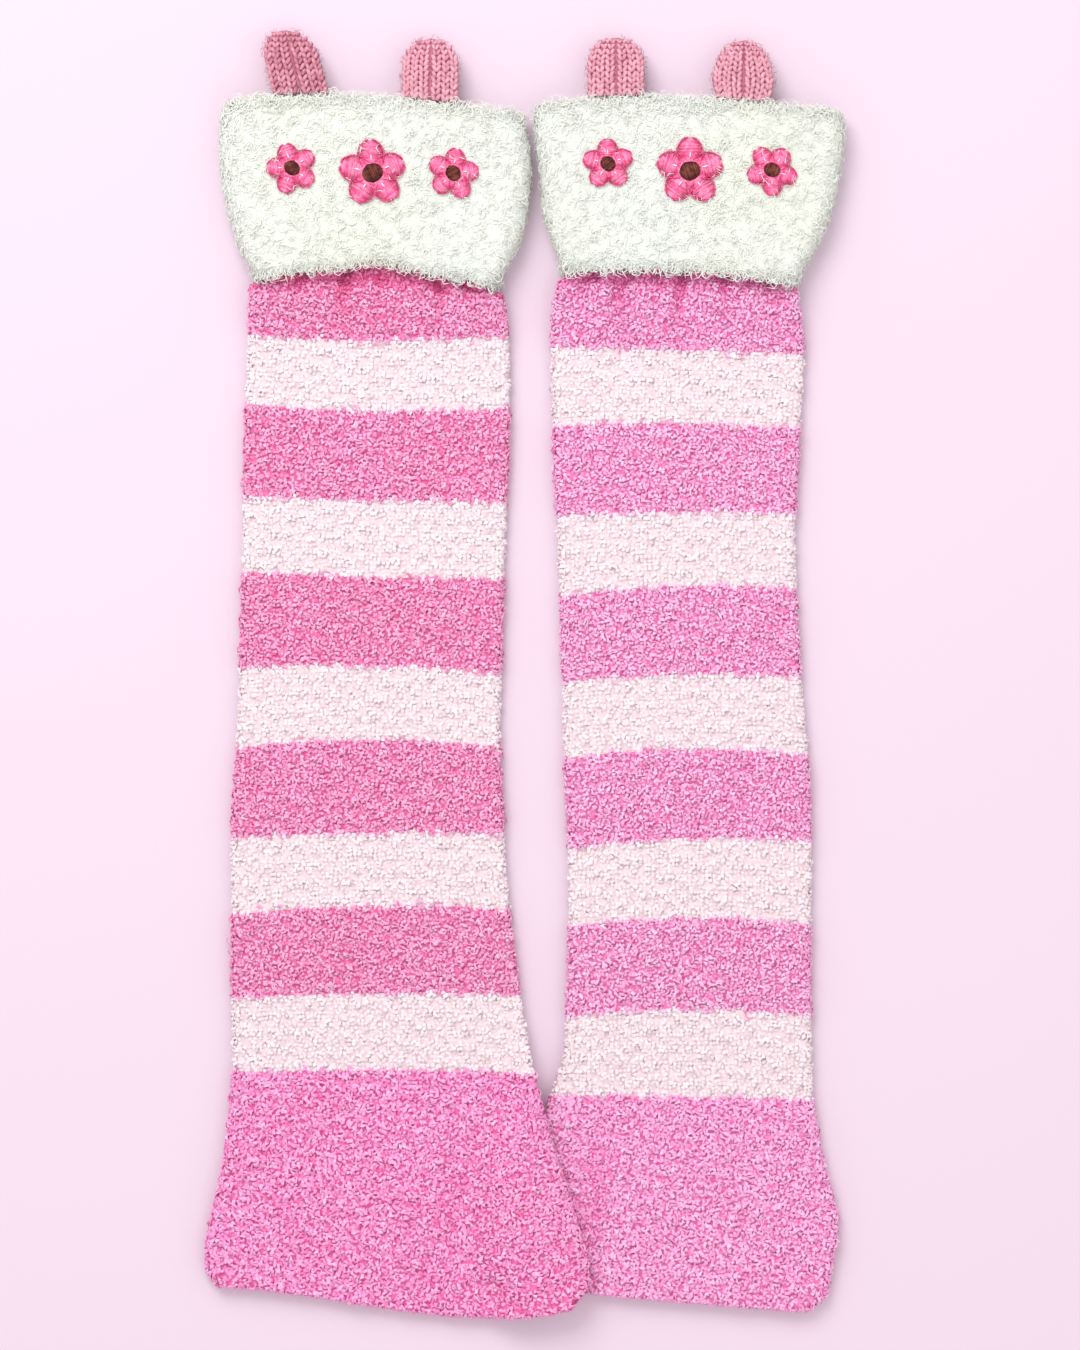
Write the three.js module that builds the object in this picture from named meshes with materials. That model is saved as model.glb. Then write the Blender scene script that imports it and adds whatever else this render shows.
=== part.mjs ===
// A pair of fluffy striped leg warmers, laid flat side by side.
// Millimetres, +Z up. The cloth lies on z = 0 with its tops towards +Y, and the origin is
// under the middle of the pair. Each leg warmer is a knitted tube, a plush cuff turned down
// over its top, and two small knitted ears sewn on the fold of the cuff.
import * as THREE from 'three';

// Thickness of the cloth, pile included
const LEG_WALL = 3;
const CUFF_WALL = 3;
// Air between the front and the back of a tube that lies flat
const FLAT_GAP = 1;
// Clearance where one piece is sewn to the next
const SEAM_GAP = 0.3;

const LEG_HEIGHT = 2 * LEG_WALL + FLAT_GAP;
const CUFF_HEIGHT = LEG_HEIGHT + 2 * (SEAM_GAP + CUFF_WALL);
// Above the leg's end the turned-down cuff is two layers thick, as one rounded wall
const FOLD_WALL = (CUFF_HEIGHT - FLAT_GAP) / 2;
// A leg climbs from the floor to the hollow of its cuff over this length
const LEG_RISE = CUFF_WALL + SEAM_GAP;
const RISE_RUN = 30;
const RISE_END_BELOW_NECK = 4;
// Half the width of a leg just below its neck, for the gathers there
const NECK_HALF = 46;

// The left leg warmer's side lies over the edge of the right one
const OVERLAP_LIFT = LEG_HEIGHT + 0.5;
const OVERLAP_RAMP = 20;
const OVERLAP_MARGIN = 4;
// The two lie clear of each other above this height
const OVERLAP_TOP = -110;
const OVERLAP_FADE = 40;

// Points round one ring of a flat tube
const TOP_STEPS = 26;
const SIDE_STEPS = 5;
const BOTTOM_STEPS = 12;
// Longest stretch of outer wall between two rings
const RING_STEP = 18;

const COLOURS = { pink: 0xf194c4, cream: 0xf7f9f0, ear: 0xe196a8 };

// Named columns for the short tables of sizes
function table(columns, rows) {
  return rows.map((row) => Object.fromEntries(columns.map((name, i) => [name, row[i]])));
}

// up: how far the middle of a section lies above the middle of the hem
// left, right: reach of the cloth on each side of the leg's axis
// tilt: how much higher the right end lies than the left one
// bow: how much higher the middle lies than the ends
// swing: sideways S of the section's line
const SECTION = ['up', 'left', 'right', 'tilt', 'bow', 'swing'];
// at: place across, from -1 at the left edge to 1 at the right one
// depth, width: of the gather under the cuff; run: how far it reaches down the leg
const GATHER = ['at', 'depth', 'width', 'run'];
// x, up: middle of a soft trough; turn: its angle, degrees; long, wide: its half sizes
const TROUGH = ['x', 'up', 'turn', 'long', 'wide', 'depth'];
// x: foot on the cuff's fold, from the leg's axis; lean: how far the tip stands to the right
const EAR = ['name', 'x', 'width', 'belly', 'length', 'lean'];

const LEFT = {
  name: 'left',
  axis: -58,
  hem: -242,
  leg: table(SECTION, [
    [0, 60, 77, -7, -5, 6.5],
    [3.5, 63.2, 81.5, -5.5, -7, 6],
    [10, 64, 83, -3, -8, 5],
    [26, 62.2, 79, -1, -6.5, 3],
    [45, 58.6, 74, 0, -4, 1],
    [66, 55.8, 68, -1, -1.5, 0],
    [90.5, 54, 62.5, -0.5, 1, 0],
    [120, 54.2, 57, 1.5, 1, 0],
    [153, 54.2, 53, 2, 2.5, 0],
    [181, 54.4, 50.8, 1.5, 1, 0],
    [216, 52.5, 49.3, 0.5, 3, 0],
    [244.5, 51.2, 49.8, -2, 1.5, 0],
    [278, 50.2, 50.8, -2.5, -1, 0],
    [307.5, 49.8, 51.8, -2, -0.5, 0],
    [341, 49, 53, -1.5, -2, 0],
    [368, 48, 52.6, -0.5, -2.5, 0],
    [382, 47.4, 51, -2, 0.3, 0],
    [391, 46.3, 49.6, -3.4, 4.5, 0],
    [394, 41.3, 44.8, -3.5, 5, 0],
    [406, 45, 48.5, -3.5, 4, 0],
    [420, 49.5, 53.5, -4, 2.5, 0],
  ]),
  neck: 392.5,
  gathers: table(GATHER, [
    [-0.62, 0.7, 3.5, 14],
    [-0.26, 1.3, 3.5, 20],
    [0.02, 0.5, 2.5, 40],
    [0.48, 1.3, 3.5, 16],
    [0.74, 0.8, 3, 18],
  ]),
  cuff: table(SECTION, [
    [395, 45, 48.5, -3.5, 5.5, 0],
    [400, 48, 51, -3.5, 5, 0],
    [408, 52.5, 56.2, -4, 4, 0],
    [419.5, 56.1, 59.6, -4, 2.5, 0],
    [433, 58.6, 61, -4, 1.5, 0],
    [445, 58.7, 60.6, -4, 2.5, 0],
    [454, 57.8, 59, -4, 3.5, 1],
    [458.8, 54.8, 56.5, -4.5, 4, 1.5],
    [460.3, 52.5, 54.5, -4, 4, 1.5],
  ]),
  // The free edge arches up in front of the shin
  arch: { x: 2, rise: 2.9, wide: 12, fade: 14 },
  cuffTroughs: table(TROUGH, [
    [-31, 451, 12, 20, 5, 0.8],
    [20, 415, 25, 22, 6, 0.7],
    [44, 431, 80, 18, 5, 0.6],
    [-38, 418, -60, 16, 6, 0.6],
  ]),
  legTroughs: table(TROUGH, [
    [-32, 30, -62, 34, 7, 0.7],
    [28, 36, 70, 40, 8, 0.8],
    [-18, 196, 35, 24, 6, 0.5],
    [22, 330, -30, 26, 6, 0.5],
  ]),
  ears: table(EAR, [
    ['ear_left_outer', -26.8, 22, 0, 25.8, -6.5],
    ['ear_left_inner', 22, 22.6, 0, 25, 0.4],
  ]),
};

const RIGHT = {
  name: 'right',
  axis: 60.5,
  hem: -239,
  leg: table(SECTION, [
    [0, 54.5, 48.5, -9, -0.5, 0],
    [4, 60, 54.5, -10, -2.5, 0],
    [12, 61.5, 57, -7.5, -4, 0],
    [27, 61, 59.3, -4, -4, 0],
    [43, 59, 55.7, -1, -2.5, 0],
    [60.5, 55.5, 52, -1, -2, 0],
    [77.5, 51.5, 50, -1.5, 0.5, 0],
    [93.5, 46.5, 49.5, -1.5, 1.5, 0],
    [111, 45.5, 49, 0.5, 3, 0],
    [145.5, 44.5, 49, 0.5, 3.5, 0],
    [176, 44.7, 49.3, 2.5, 3, 0],
    [209.5, 46.2, 48, 1, 3, 0],
    [238, 46.8, 45.4, 2, 1.5, 0],
    [271.5, 47.8, 43.5, 3, 2.5, 0],
    [300, 49.2, 43.2, 0.5, 1, 0],
    [333.5, 50.6, 45, -1, 2, 0],
    [361.5, 51.2, 46.3, -2.5, 0, 0],
    [378, 50, 44.6, -2.5, 0, 0],
    [387.5, 47.8, 42.9, -3, 1.4, 0],
    [390.5, 43.1, 39.4, -3, 1.5, 0],
    [402, 46, 42, -3.5, 2, 0],
    [415, 49.5, 49, -3, 1.5, 0],
  ]),
  neck: 389.5,
  gathers: table(GATHER, [
    [-0.76, 0.9, 3.5, 16],
    [-0.45, 1.4, 4, 30],
    [-0.2, 0.8, 3, 18],
    [0.02, 1.4, 3.5, 28],
    [0.4, 0.9, 3.5, 20],
    [0.78, 1.2, 4, 16],
  ]),
  cuff: table(SECTION, [
    [391.5, 46.5, 43.5, -4, 2.5, 0],
    [396.5, 48.5, 46.5, -4, 2.5, 0],
    [404, 51.5, 51.5, -3.5, 2, 0],
    [414.5, 54.5, 56.3, -3, 1.5, 0],
    [428, 55.5, 59.5, -2.5, 1.5, 0],
    [440, 57, 61.2, -2.5, 2.5, 0],
    [450, 57.5, 61.7, -2.5, 3.5, 1],
    [455.4, 56.5, 59.5, -2, 4, 1.5],
    [456.9, 54, 56.5, -2, 4, 1.5],
  ]),
  arch: { x: 36, rise: -1.2, wide: 6, fade: 8 },
  cuffTroughs: table(TROUGH, [
    [23, 412, 14, 26, 5, 1],
    [-30, 409, -20, 22, 5, 0.7],
    [46, 436, 70, 18, 6, 0.6],
    [-6, 446, 5, 20, 5, 0.5],
  ]),
  legTroughs: table(TROUGH, [
    [-34, 40, 84, 44, 7, 1.1],
    [12, 46, -50, 26, 7, 0.6],
    [8, 186, 30, 22, 6, 0.5],
    [-12, 320, -35, 26, 6, 0.5],
  ]),
  ears: table(EAR, [
    ['ear_right_inner', -26, 22.8, 0, 23.8, 0.2],
    ['ear_right_outer', 22, 20.5, 2, 24.2, 0.8],
  ]),
};

// Ears: cross sections from the seam to the tip
const EAR_THICKNESS = 5.6;
const EAR_ROUND_FROM = 0.52;
const EAR_RINGS = [0, 0.2, 0.4, 0.56, 0.7, 0.82, 0.91, 0.97];
const EAR_POINTS = 20;
const EAR_DROOP = 6.2;
const EAR_SQUARENESS = 0.8;

function smoothstep(value) {
  const t = THREE.MathUtils.clamp(value, 0, 1);
  return t * t * (3 - 2 * t);
}

// A smooth curve through the rows of a table of sections, read at one height
function sectionAt(rows, up) {
  const last = rows.length - 1;
  let i = 0;
  while (i < last - 1 && rows[i + 1].up < up) i += 1;
  const [a, b] = [rows[i], rows[i + 1]];
  const span = b.up - a.up;
  const t = THREE.MathUtils.clamp((up - a.up) / span, 0, 1);
  const slope = (j, name) => {
    const [p, q] = [rows[Math.max(j - 1, 0)], rows[Math.min(j + 1, last)]];
    return (q[name] - p[name]) / (q.up - p.up);
  };
  const found = { up };
  for (const name of SECTION.slice(1)) {
    found[name] = a[name] * (1 + 2 * t) * (1 - t) ** 2
      + b[name] * t * t * (3 - 2 * t)
      + span * slope(i, name) * t * (1 - t) ** 2
      - span * slope(i + 1, name) * t * t * (1 - t);
  }
  return found;
}

// Where a point of a section lies on the floor plan. x is measured from the leg's axis
function planPoint(warmer, section, x) {
  const half = (section.left + section.right) / 2;
  const across = (x - (section.right - section.left) / 2) / half;
  const line = (section.tilt / 2) * across - section.bow * across ** 2
    + section.swing * (across ** 3 - across);
  return { x: warmer.axis + x, y: warmer.hem + section.up + line, across };
}

// The outline of a flat tube's section: a bar with round ends, set in by `inset` all round.
// Returns [x from the section's middle, z from its underside] pairs, in one order for any inset
function ringPoints(half, height, inset) {
  const radius = height / 2 - inset;
  const flat = half - height / 2;
  const points = [];
  for (let i = 0; i <= TOP_STEPS; i += 1) {
    points.push([flat * (1 - (2 * i) / TOP_STEPS), height - inset]);
  }
  for (let i = 1; i < SIDE_STEPS; i += 1) {
    const angle = Math.PI * (0.5 + i / SIDE_STEPS);
    points.push([-flat + radius * Math.cos(angle), height / 2 + radius * Math.sin(angle)]);
  }
  for (let i = 0; i <= BOTTOM_STEPS; i += 1) {
    points.push([flat * ((2 * i) / BOTTOM_STEPS - 1), inset]);
  }
  for (let i = 1; i < SIDE_STEPS; i += 1) {
    const angle = Math.PI * (i / SIDE_STEPS - 0.5);
    points.push([flat + radius * Math.cos(angle), height / 2 + radius * Math.sin(angle)]);
  }
  return points;
}

// The right leg's left edge on the floor plan, for what lies over it
const RIGHT_EDGE = RIGHT.leg.map((section) => planPoint(RIGHT, section, -section.left));

function rightEdgeX(y) {
  const above = RIGHT_EDGE.findIndex((point) => point.y > y);
  if (above < 1) return RIGHT_EDGE.at(above).x;
  const [a, b] = [RIGHT_EDGE[above - 1], RIGHT_EDGE[above]];
  return THREE.MathUtils.lerp(a.x, b.x, (y - a.y) / (b.y - a.y));
}

// How far the left leg warmer is held up by the edge of the right one
function overlapLift(point) {
  const reach = point.x - (rightEdgeX(point.y) - OVERLAP_MARGIN);
  const below = smoothstep((OVERLAP_TOP - point.y) / OVERLAP_FADE);
  return OVERLAP_LIFT * below * smoothstep(reach / OVERLAP_RAMP + 1);
}

// Depth of the gathers that the neck seam draws into the top of a leg
function gatherDepth(warmer, up, across) {
  return warmer.gathers.reduce((sum, gather) => {
    const side = ((across - gather.at) * NECK_HALF) / gather.width;
    const below = Math.max(warmer.neck - up, 0) / gather.run;
    return sum + gather.depth * Math.exp(-side * side - below * below);
  }, 0);
}

// Depth of the soft troughs at a place on the cloth
function troughDepth(troughs, x, up) {
  return troughs.reduce((sum, trough) => {
    const turn = THREE.MathUtils.degToRad(trough.turn);
    const [dx, dy] = [x - trough.x, up - trough.up];
    const along = (dx * Math.cos(turn) + dy * Math.sin(turn)) / trough.long;
    const over = (dy * Math.cos(turn) - dx * Math.sin(turn)) / trough.wide;
    return sum + trough.depth * Math.exp(-along * along - over * over);
  }, 0);
}

// A closed shell: rings joined in a loop, each ring a list of THREE.Vector3 in the same order.
// The loop runs up the outside and comes back down the inside, so the shell is a tube's wall
function loopOfRings(rings) {
  const count = rings[0].length;
  const positions = rings.flat().flatMap((point) => point.toArray());
  const triangles = [];
  rings.forEach((ring, r) => {
    const [here, next] = [r * count, ((r + 1) % rings.length) * count];
    for (let k = 0; k < count; k += 1) {
      const after = (k + 1) % count;
      triangles.push(here + k, next + k, here + after);
      triangles.push(here + after, next + k, next + after);
    }
  });
  return geometryOf(positions, triangles);
}

function geometryOf(positions, triangles) {
  const geometry = new THREE.BufferGeometry();
  geometry.setAttribute('position', new THREE.Float32BufferAttribute(positions, 3));
  geometry.setIndex(triangles);
  geometry.computeVertexNormals();
  return geometry;
}

// Heights of the rings of an outer wall: each row of the table, and between rows far apart
function ringHeights(rows, from, to) {
  const marks = [from, ...rows.map((row) => row.up).filter((up) => up > from && up < to), to];
  const heights = [];
  for (let i = 1; i < marks.length; i += 1) {
    const parts = Math.ceil((marks[i] - marks[i - 1]) / RING_STEP);
    for (let p = 0; p < parts; p += 1) {
      heights.push(THREE.MathUtils.lerp(marks[i - 1], marks[i], p / parts));
    }
  }
  return [...heights, to];
}

// A soft hem: the wall's edge rounds over from the outside to the inside, as {up, inset} steps
function hemProfile(up, wall) {
  const steps = 4;
  return Array.from({ length: steps - 1 }, (_, i) => {
    const angle = (Math.PI * (i + 1)) / steps;
    return { up: up + (wall / 2) * (1 - Math.sin(angle)), inset: (wall / 2) * (1 + Math.cos(angle)) };
  });
}

function legGeometry(warmer) {
  const rows = warmer.leg;
  const top = rows[rows.length - 1].up;
  const hemRound = LEG_WALL / 2;
  const outer = ringHeights(rows, hemRound, top).map((up) => ({ up, inset: 0 }));
  const inner = rows.map((row) => row.up).filter((up) => up > hemRound && up < top);
  const profile = [
    ...outer,
    { up: top, inset: LEG_WALL },
    ...inner.reverse().map((up) => ({ up, inset: LEG_WALL })),
    { up: hemRound, inset: LEG_WALL },
    ...hemProfile(0, LEG_WALL),
  ];
  const riseTo = warmer.neck - RISE_END_BELOW_NECK;
  return loopOfRings(profile.map(({ up, inset }) => {
    const section = sectionAt(rows, up);
    const half = (section.left + section.right) / 2;
    const middle = (section.right - section.left) / 2;
    const rise = LEG_RISE * smoothstep((up - riseTo) / RISE_RUN + 1);
    return ringPoints(half, LEG_HEIGHT, inset).map(([x, z]) => {
      const place = planPoint(warmer, section, middle + x);
      const onTop = inset === 0 && z > LEG_HEIGHT * 0.9 ? 1 : 0;
      const relief = onTop * (gatherDepth(warmer, up, place.across)
        + troughDepth(warmer.legTroughs, middle + x, up));
      const lift = warmer === LEFT ? overlapLift(place) : 0;
      return new THREE.Vector3(place.x, place.y, z + rise + lift - relief);
    });
  }));
}

function cuffGeometry(warmer) {
  const rows = warmer.cuff;
  const [bottom, top] = [rows[0].up, rows[rows.length - 1].up];
  const legTop = warmer.leg[warmer.leg.length - 1].up;
  const stepUp = legTop + SEAM_GAP;
  const edgeRound = CUFF_WALL / 2;
  const foldRound = FOLD_WALL / 2;
  const foldSteps = 6;
  const fold = Array.from({ length: foldSteps - 1 }, (_, i) => {
    const angle = (Math.PI * (i + 1)) / foldSteps;
    return {
      up: top - foldRound * (1 - Math.sin(angle)),
      inset: foldRound * (1 - Math.cos(angle)),
    };
  });
  const inside = rows.map((row) => row.up);
  const profile = [
    ...ringHeights(rows, bottom + edgeRound, top - foldRound).map((up) => ({ up, inset: 0 })),
    ...fold,
    { up: top - foldRound, inset: FOLD_WALL },
    ...inside.filter((up) => up > stepUp + 1 && up < top - foldRound - 1).reverse()
      .map((up) => ({ up, inset: FOLD_WALL })),
    { up: stepUp, inset: FOLD_WALL },
    { up: stepUp, inset: CUFF_WALL },
    ...inside.filter((up) => up > bottom + edgeRound && up < stepUp - 1).reverse()
      .map((up) => ({ up, inset: CUFF_WALL })),
    { up: bottom + edgeRound, inset: CUFF_WALL },
    ...hemProfile(bottom, CUFF_WALL),
  ];
  return loopOfRings(profile.map(({ up, inset }) => {
    const section = sectionAt(rows, up);
    const half = (section.left + section.right) / 2;
    const middle = (section.right - section.left) / 2;
    return ringPoints(half, CUFF_HEIGHT, inset).map(([x, z]) => {
      const place = planPoint(warmer, section, middle + x);
      const { arch } = warmer;
      const side = (middle + x - arch.x) / arch.wide;
      const raised = arch.rise * Math.exp(-side * side - Math.max(up - bottom, 0) / arch.fade);
      const onTop = inset === 0 && z > CUFF_HEIGHT * 0.9 ? 1 : 0;
      const relief = onTop * troughDepth(warmer.cuffTroughs, middle + x, up);
      return new THREE.Vector3(place.x, place.y + raised, z - relief);
    });
  }));
}

// A small flattened ear, rounded at its tip, whose foot follows the fold of the cuff
function earGeometry(warmer, ear) {
  const crest = warmer.cuff[warmer.cuff.length - 1];
  const foot = planPoint(warmer, crest, ear.x);
  const seam = CUFF_HEIGHT - FOLD_WALL / 2;
  const positions = [];
  for (const t of EAR_RINGS) {
    const rounding = Math.max(t - EAR_ROUND_FROM, 0) / (1 - EAR_ROUND_FROM);
    const girth = Math.sqrt(1 - rounding * rounding);
    const half = (ear.width / 2 + ear.belly * Math.sin(Math.PI * Math.min(t * 1.6, 1))) * girth;
    const thick = (EAR_THICKNESS / 2) * Math.sqrt(girth);
    for (let k = 0; k < EAR_POINTS; k += 1) {
      const angle = (2 * Math.PI * k) / EAR_POINTS;
      const [c, s] = [Math.cos(angle), Math.sin(angle)];
      const x = half * Math.sign(c) * Math.abs(c) ** EAR_SQUARENESS;
      const z = thick * Math.sign(s) * Math.abs(s) ** EAR_SQUARENESS;
      const edge = planPoint(warmer, crest, ear.x + x).y - foot.y;
      positions.push(
        foot.x + x + ear.lean * t,
        foot.y + SEAM_GAP + ear.length * t + edge * (1 - t) ** 2,
        seam - EAR_DROOP * t * t + z,
      );
    }
  }
  const tip = positions.length / 3;
  positions.push(foot.x + ear.lean, foot.y + SEAM_GAP + ear.length, seam - EAR_DROOP);
  positions.push(foot.x, foot.y + SEAM_GAP, seam);
  const triangles = [];
  const last = (EAR_RINGS.length - 1) * EAR_POINTS;
  for (let k = 0; k < EAR_POINTS; k += 1) {
    const after = (k + 1) % EAR_POINTS;
    for (let ring = 0; ring < last; ring += EAR_POINTS) {
      triangles.push(ring + k, ring + EAR_POINTS + k, ring + after);
      triangles.push(ring + after, ring + EAR_POINTS + k, ring + EAR_POINTS + after);
    }
    triangles.push(last + k, tip, last + after);
    triangles.push(k, after, tip + 1);
  }
  return geometryOf(positions, triangles);
}

function clothMesh(name, geometry, color) {
  const material = new THREE.MeshStandardMaterial({ color, roughness: 0.95, metalness: 0 });
  const mesh = new THREE.Mesh(geometry, material);
  mesh.name = name;
  return mesh;
}

function legWarmer(warmer) {
  const group = new THREE.Group();
  group.add(clothMesh(`leg_${warmer.name}`, legGeometry(warmer), COLOURS.pink));
  group.add(clothMesh(`cuff_${warmer.name}`, cuffGeometry(warmer), COLOURS.cream));
  for (const ear of warmer.ears) {
    group.add(clothMesh(ear.name, earGeometry(warmer, ear), COLOURS.ear));
  }
  return group;
}

const pair = new THREE.Group();
pair.add(legWarmer(LEFT), legWarmer(RIGHT));

export default pair;
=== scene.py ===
"""Dresses a pair of fluffy striped leg warmers, laid flat with their plush cuffs at the top.

Sizes are in millimetres until a mesh is made. Every leg warmer is a knitted tube under a
turned-down cuff with two small knitted ears. Each tube is a thin shell of cloth, and its pile is
thousands of small closed curls that grow out of it.
"""

from __future__ import annotations

import logging
from dataclasses import dataclass
from enum import Enum
from typing import NamedTuple

import bpy
import numpy as np
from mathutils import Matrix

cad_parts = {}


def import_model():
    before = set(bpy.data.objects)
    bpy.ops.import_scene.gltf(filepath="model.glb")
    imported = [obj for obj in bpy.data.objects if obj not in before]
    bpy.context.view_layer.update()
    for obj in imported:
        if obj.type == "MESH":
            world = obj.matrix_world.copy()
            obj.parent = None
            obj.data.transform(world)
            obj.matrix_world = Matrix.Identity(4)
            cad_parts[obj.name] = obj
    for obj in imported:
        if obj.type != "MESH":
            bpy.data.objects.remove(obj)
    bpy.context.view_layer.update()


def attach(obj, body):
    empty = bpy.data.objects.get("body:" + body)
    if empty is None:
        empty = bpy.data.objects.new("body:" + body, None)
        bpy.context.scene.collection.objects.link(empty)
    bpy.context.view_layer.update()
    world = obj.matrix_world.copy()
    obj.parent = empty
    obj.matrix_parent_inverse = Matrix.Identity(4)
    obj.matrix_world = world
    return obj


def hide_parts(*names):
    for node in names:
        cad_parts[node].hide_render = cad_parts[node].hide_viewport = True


Array = np.ndarray
Rows = tuple[tuple[float, ...], ...]

LOG = logging.getLogger("leg_warmers")
MM = 0.001

# Thickness of the cloth with its pile, the air inside a flat tube, and a sewn seam's gap
LEG_WALL = 3.0
CUFF_WALL = 3.0
FLAT_GAP = 1.0
SEAM_GAP = 0.3
LEG_HEIGHT = 2 * LEG_WALL + FLAT_GAP
CUFF_HEIGHT = LEG_HEIGHT + 2 * (SEAM_GAP + CUFF_WALL)
FOLD_WALL = (CUFF_HEIGHT - FLAT_GAP) / 2

# A leg climbs from the floor into its cuff
LEG_RISE = CUFF_WALL + SEAM_GAP
RISE_RUN = 30.0
RISE_END_BELOW_NECK = 4.0
NECK_HALF = 46.0
NECK_PINCH = 0.9
NECK_PINCH_RUN = 4.0

# The left leg warmer's side lies over the edge of the right one
OVERLAP_LIFT = LEG_HEIGHT + 0.5
OVERLAP_RAMP = 20.0
OVERLAP_MARGIN = 4.0
OVERLAP_TOP = -110.0
OVERLAP_FADE = 40.0

# Tone of the bare cloth between curls, below a curl's usual tone; with no rise it takes the deep tone, a
# painted shade between the curls
SHELL_SHADE = 0.3

# Nothing goes through the floor
FLOOR_CLEARANCE = 0.05

# Cloth is a tube's outer face down to this share of its wall, and its front down to this slope
OUTER_SHARE = 0.9
FRONT_FROM = -0.6

# The front's inner face sinks no further than this, which keeps it off the face below
INNER_SINK = 0.9 * FLAT_GAP

# Width of the ring round a flower over which the fleece's lumps come back
FLOWER_MARGIN = 5.0


class Side(Enum):
    """Which leg warmer of the pair, as a viewer sees it from above."""

    LEFT = "left"
    RIGHT = "right"


class Face(Enum):
    """Which face of a flat tube some pile grows on."""

    FRONT = "front"
    BACK = "back"


class Section(NamedTuple):
    """Sizes of a tube's section: reach to each side of the axis, and the run of its line."""

    left: Array
    right: Array
    tilt: Array
    bow: Array
    swing: Array

    @property
    def half(self) -> Array:
        """Half the section's width."""
        return (self.left + self.right) / 2

    @property
    def middle(self) -> Array:
        """How far the section's middle lies to the right of the axis."""
        return (self.right - self.left) / 2


class Gather(NamedTuple):
    """A gather under the cuff: its place across from -1 to 1, and its sizes."""

    at: float
    depth: float
    width: float
    run: float


class Trough(NamedTuple):
    """A soft trough in the cloth: its middle, turn in degrees, half sizes and depth."""

    x: float
    up: float
    turn: float
    long: float
    wide: float
    depth: float


class Lumps(NamedTuple):
    """The soft lumps of a fluffy cloth: their depth and pitch in mm, and the seed that lays them."""

    depth: float
    pitch: float
    seed: int


# The lumps of the two fluffy cloths
LEG_LUMPS = Lumps(0.4, 5.5, 5)
CUFF_LUMPS = Lumps(0.2, 8.0, 8)


class Arch(NamedTuple):
    """Where a cuff's free edge rises or dips, and how far that reaches."""

    x: float
    rise: float
    wide: float
    fade: float


class EarSize(NamedTuple):
    """An ear: its node, its foot's place across, and its sizes.

    belly is the extra half width at its middle, and lean how far its tip lies to the right.
    """

    name: str
    x: float
    width: float
    belly: float
    length: float
    lean: float


def smoothstep(value: Array) -> Array:
    """Rises from 0 to 1 as value goes from 0 to 1, level at both ends: 3t^2 - 2t^3."""
    t = np.clip(value, 0.0, 1.0)
    return t * t * (3 - 2 * t)


def unit(vectors: Array) -> Array:
    """Scales each vector to a length of 1."""
    return vectors / np.maximum(np.linalg.norm(vectors, axis=-1, keepdims=True), 1e-9)


def waves(x: Array, y: Array, pitch: float, seed: int, count: int = 7) -> Array:
    """A smooth random field from about -1 to 1: a sum of plane waves of about one pitch.

    Args:
        x: Places across, in mm.
        y: Places along, in mm.
        pitch: The usual distance from crest to crest, in mm.
        seed: Makes the field its own.
        count: How many waves are summed.

    Returns:
        The field at each place.
    """
    rng = np.random.default_rng(seed)
    turn = np.pi * (np.arange(count) + rng.uniform(0, 1, count)) / count
    rate = 2 * np.pi / (pitch * rng.uniform(0.75, 1.4, count))
    phase = rng.uniform(0, 2 * np.pi, count)
    along = x[..., None] * np.cos(turn) + y[..., None] * np.sin(turn)
    return np.sin(along * rate + phase).sum(-1) / np.sqrt(count * 0.9)


@dataclass(frozen=True)
class Table:
    """A tube's sections by height, each row: up, left, right, tilt, bow, swing, in mm."""

    rows: Rows

    @property
    def bottom(self) -> float:
        """Height of the lowest section."""
        return self.rows[0][0]

    @property
    def top(self) -> float:
        """Height of the highest section."""
        return self.rows[-1][0]

    def read(self, up: Array) -> Section:
        """Reads a cubic curve through the rows, whose slope at a row is that of its neighbours.

        Args:
            up: Heights above the hem's middle, in mm.

        Returns:
            The section's sizes at each height.
        """
        rows = np.array(self.rows)
        ups = rows[:, 0]
        last = len(ups) - 1
        before = np.maximum(np.arange(last + 1) - 1, 0)
        after = np.minimum(np.arange(last + 1) + 1, last)
        slopes = (rows[after] - rows[before]) / (ups[after] - ups[before])[:, None]
        row = np.clip(np.searchsorted(ups, up, side="right") - 1, 0, last - 1)
        span = (ups[row + 1] - ups[row])[..., None]
        t = np.clip((up - ups[row])[..., None] / span, 0, 1)
        value = rows[row] * (1 + 2 * t) * (1 - t) ** 2 + rows[row + 1] * t * t * (3 - 2 * t)
        value += span * slopes[row] * t * (1 - t) ** 2
        value -= span * slopes[row + 1] * t * t * (1 - t)
        return Section(*np.moveaxis(value[..., 1:], -1, 0))


class Frame(NamedTuple):
    """Points on a cloth with the directions there: to the right, up the cloth, and out of it."""

    point: Array
    right: Array
    up: Array
    out: Array

    def pick(self, keep: Array) -> Frame:
        """The frame at the places that keep marks."""
        return Frame(*(part[keep] for part in self))

    def rolled(self, angle: Array) -> Frame:
        """The frame turned over an edge: out leans towards up by the angle, in radians."""
        cosine, sine = np.cos(angle)[:, None], np.sin(angle)[:, None]
        up = cosine * self.up - sine * self.out
        return Frame(self.point, self.right, up, cosine * self.out + sine * self.up)


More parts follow.
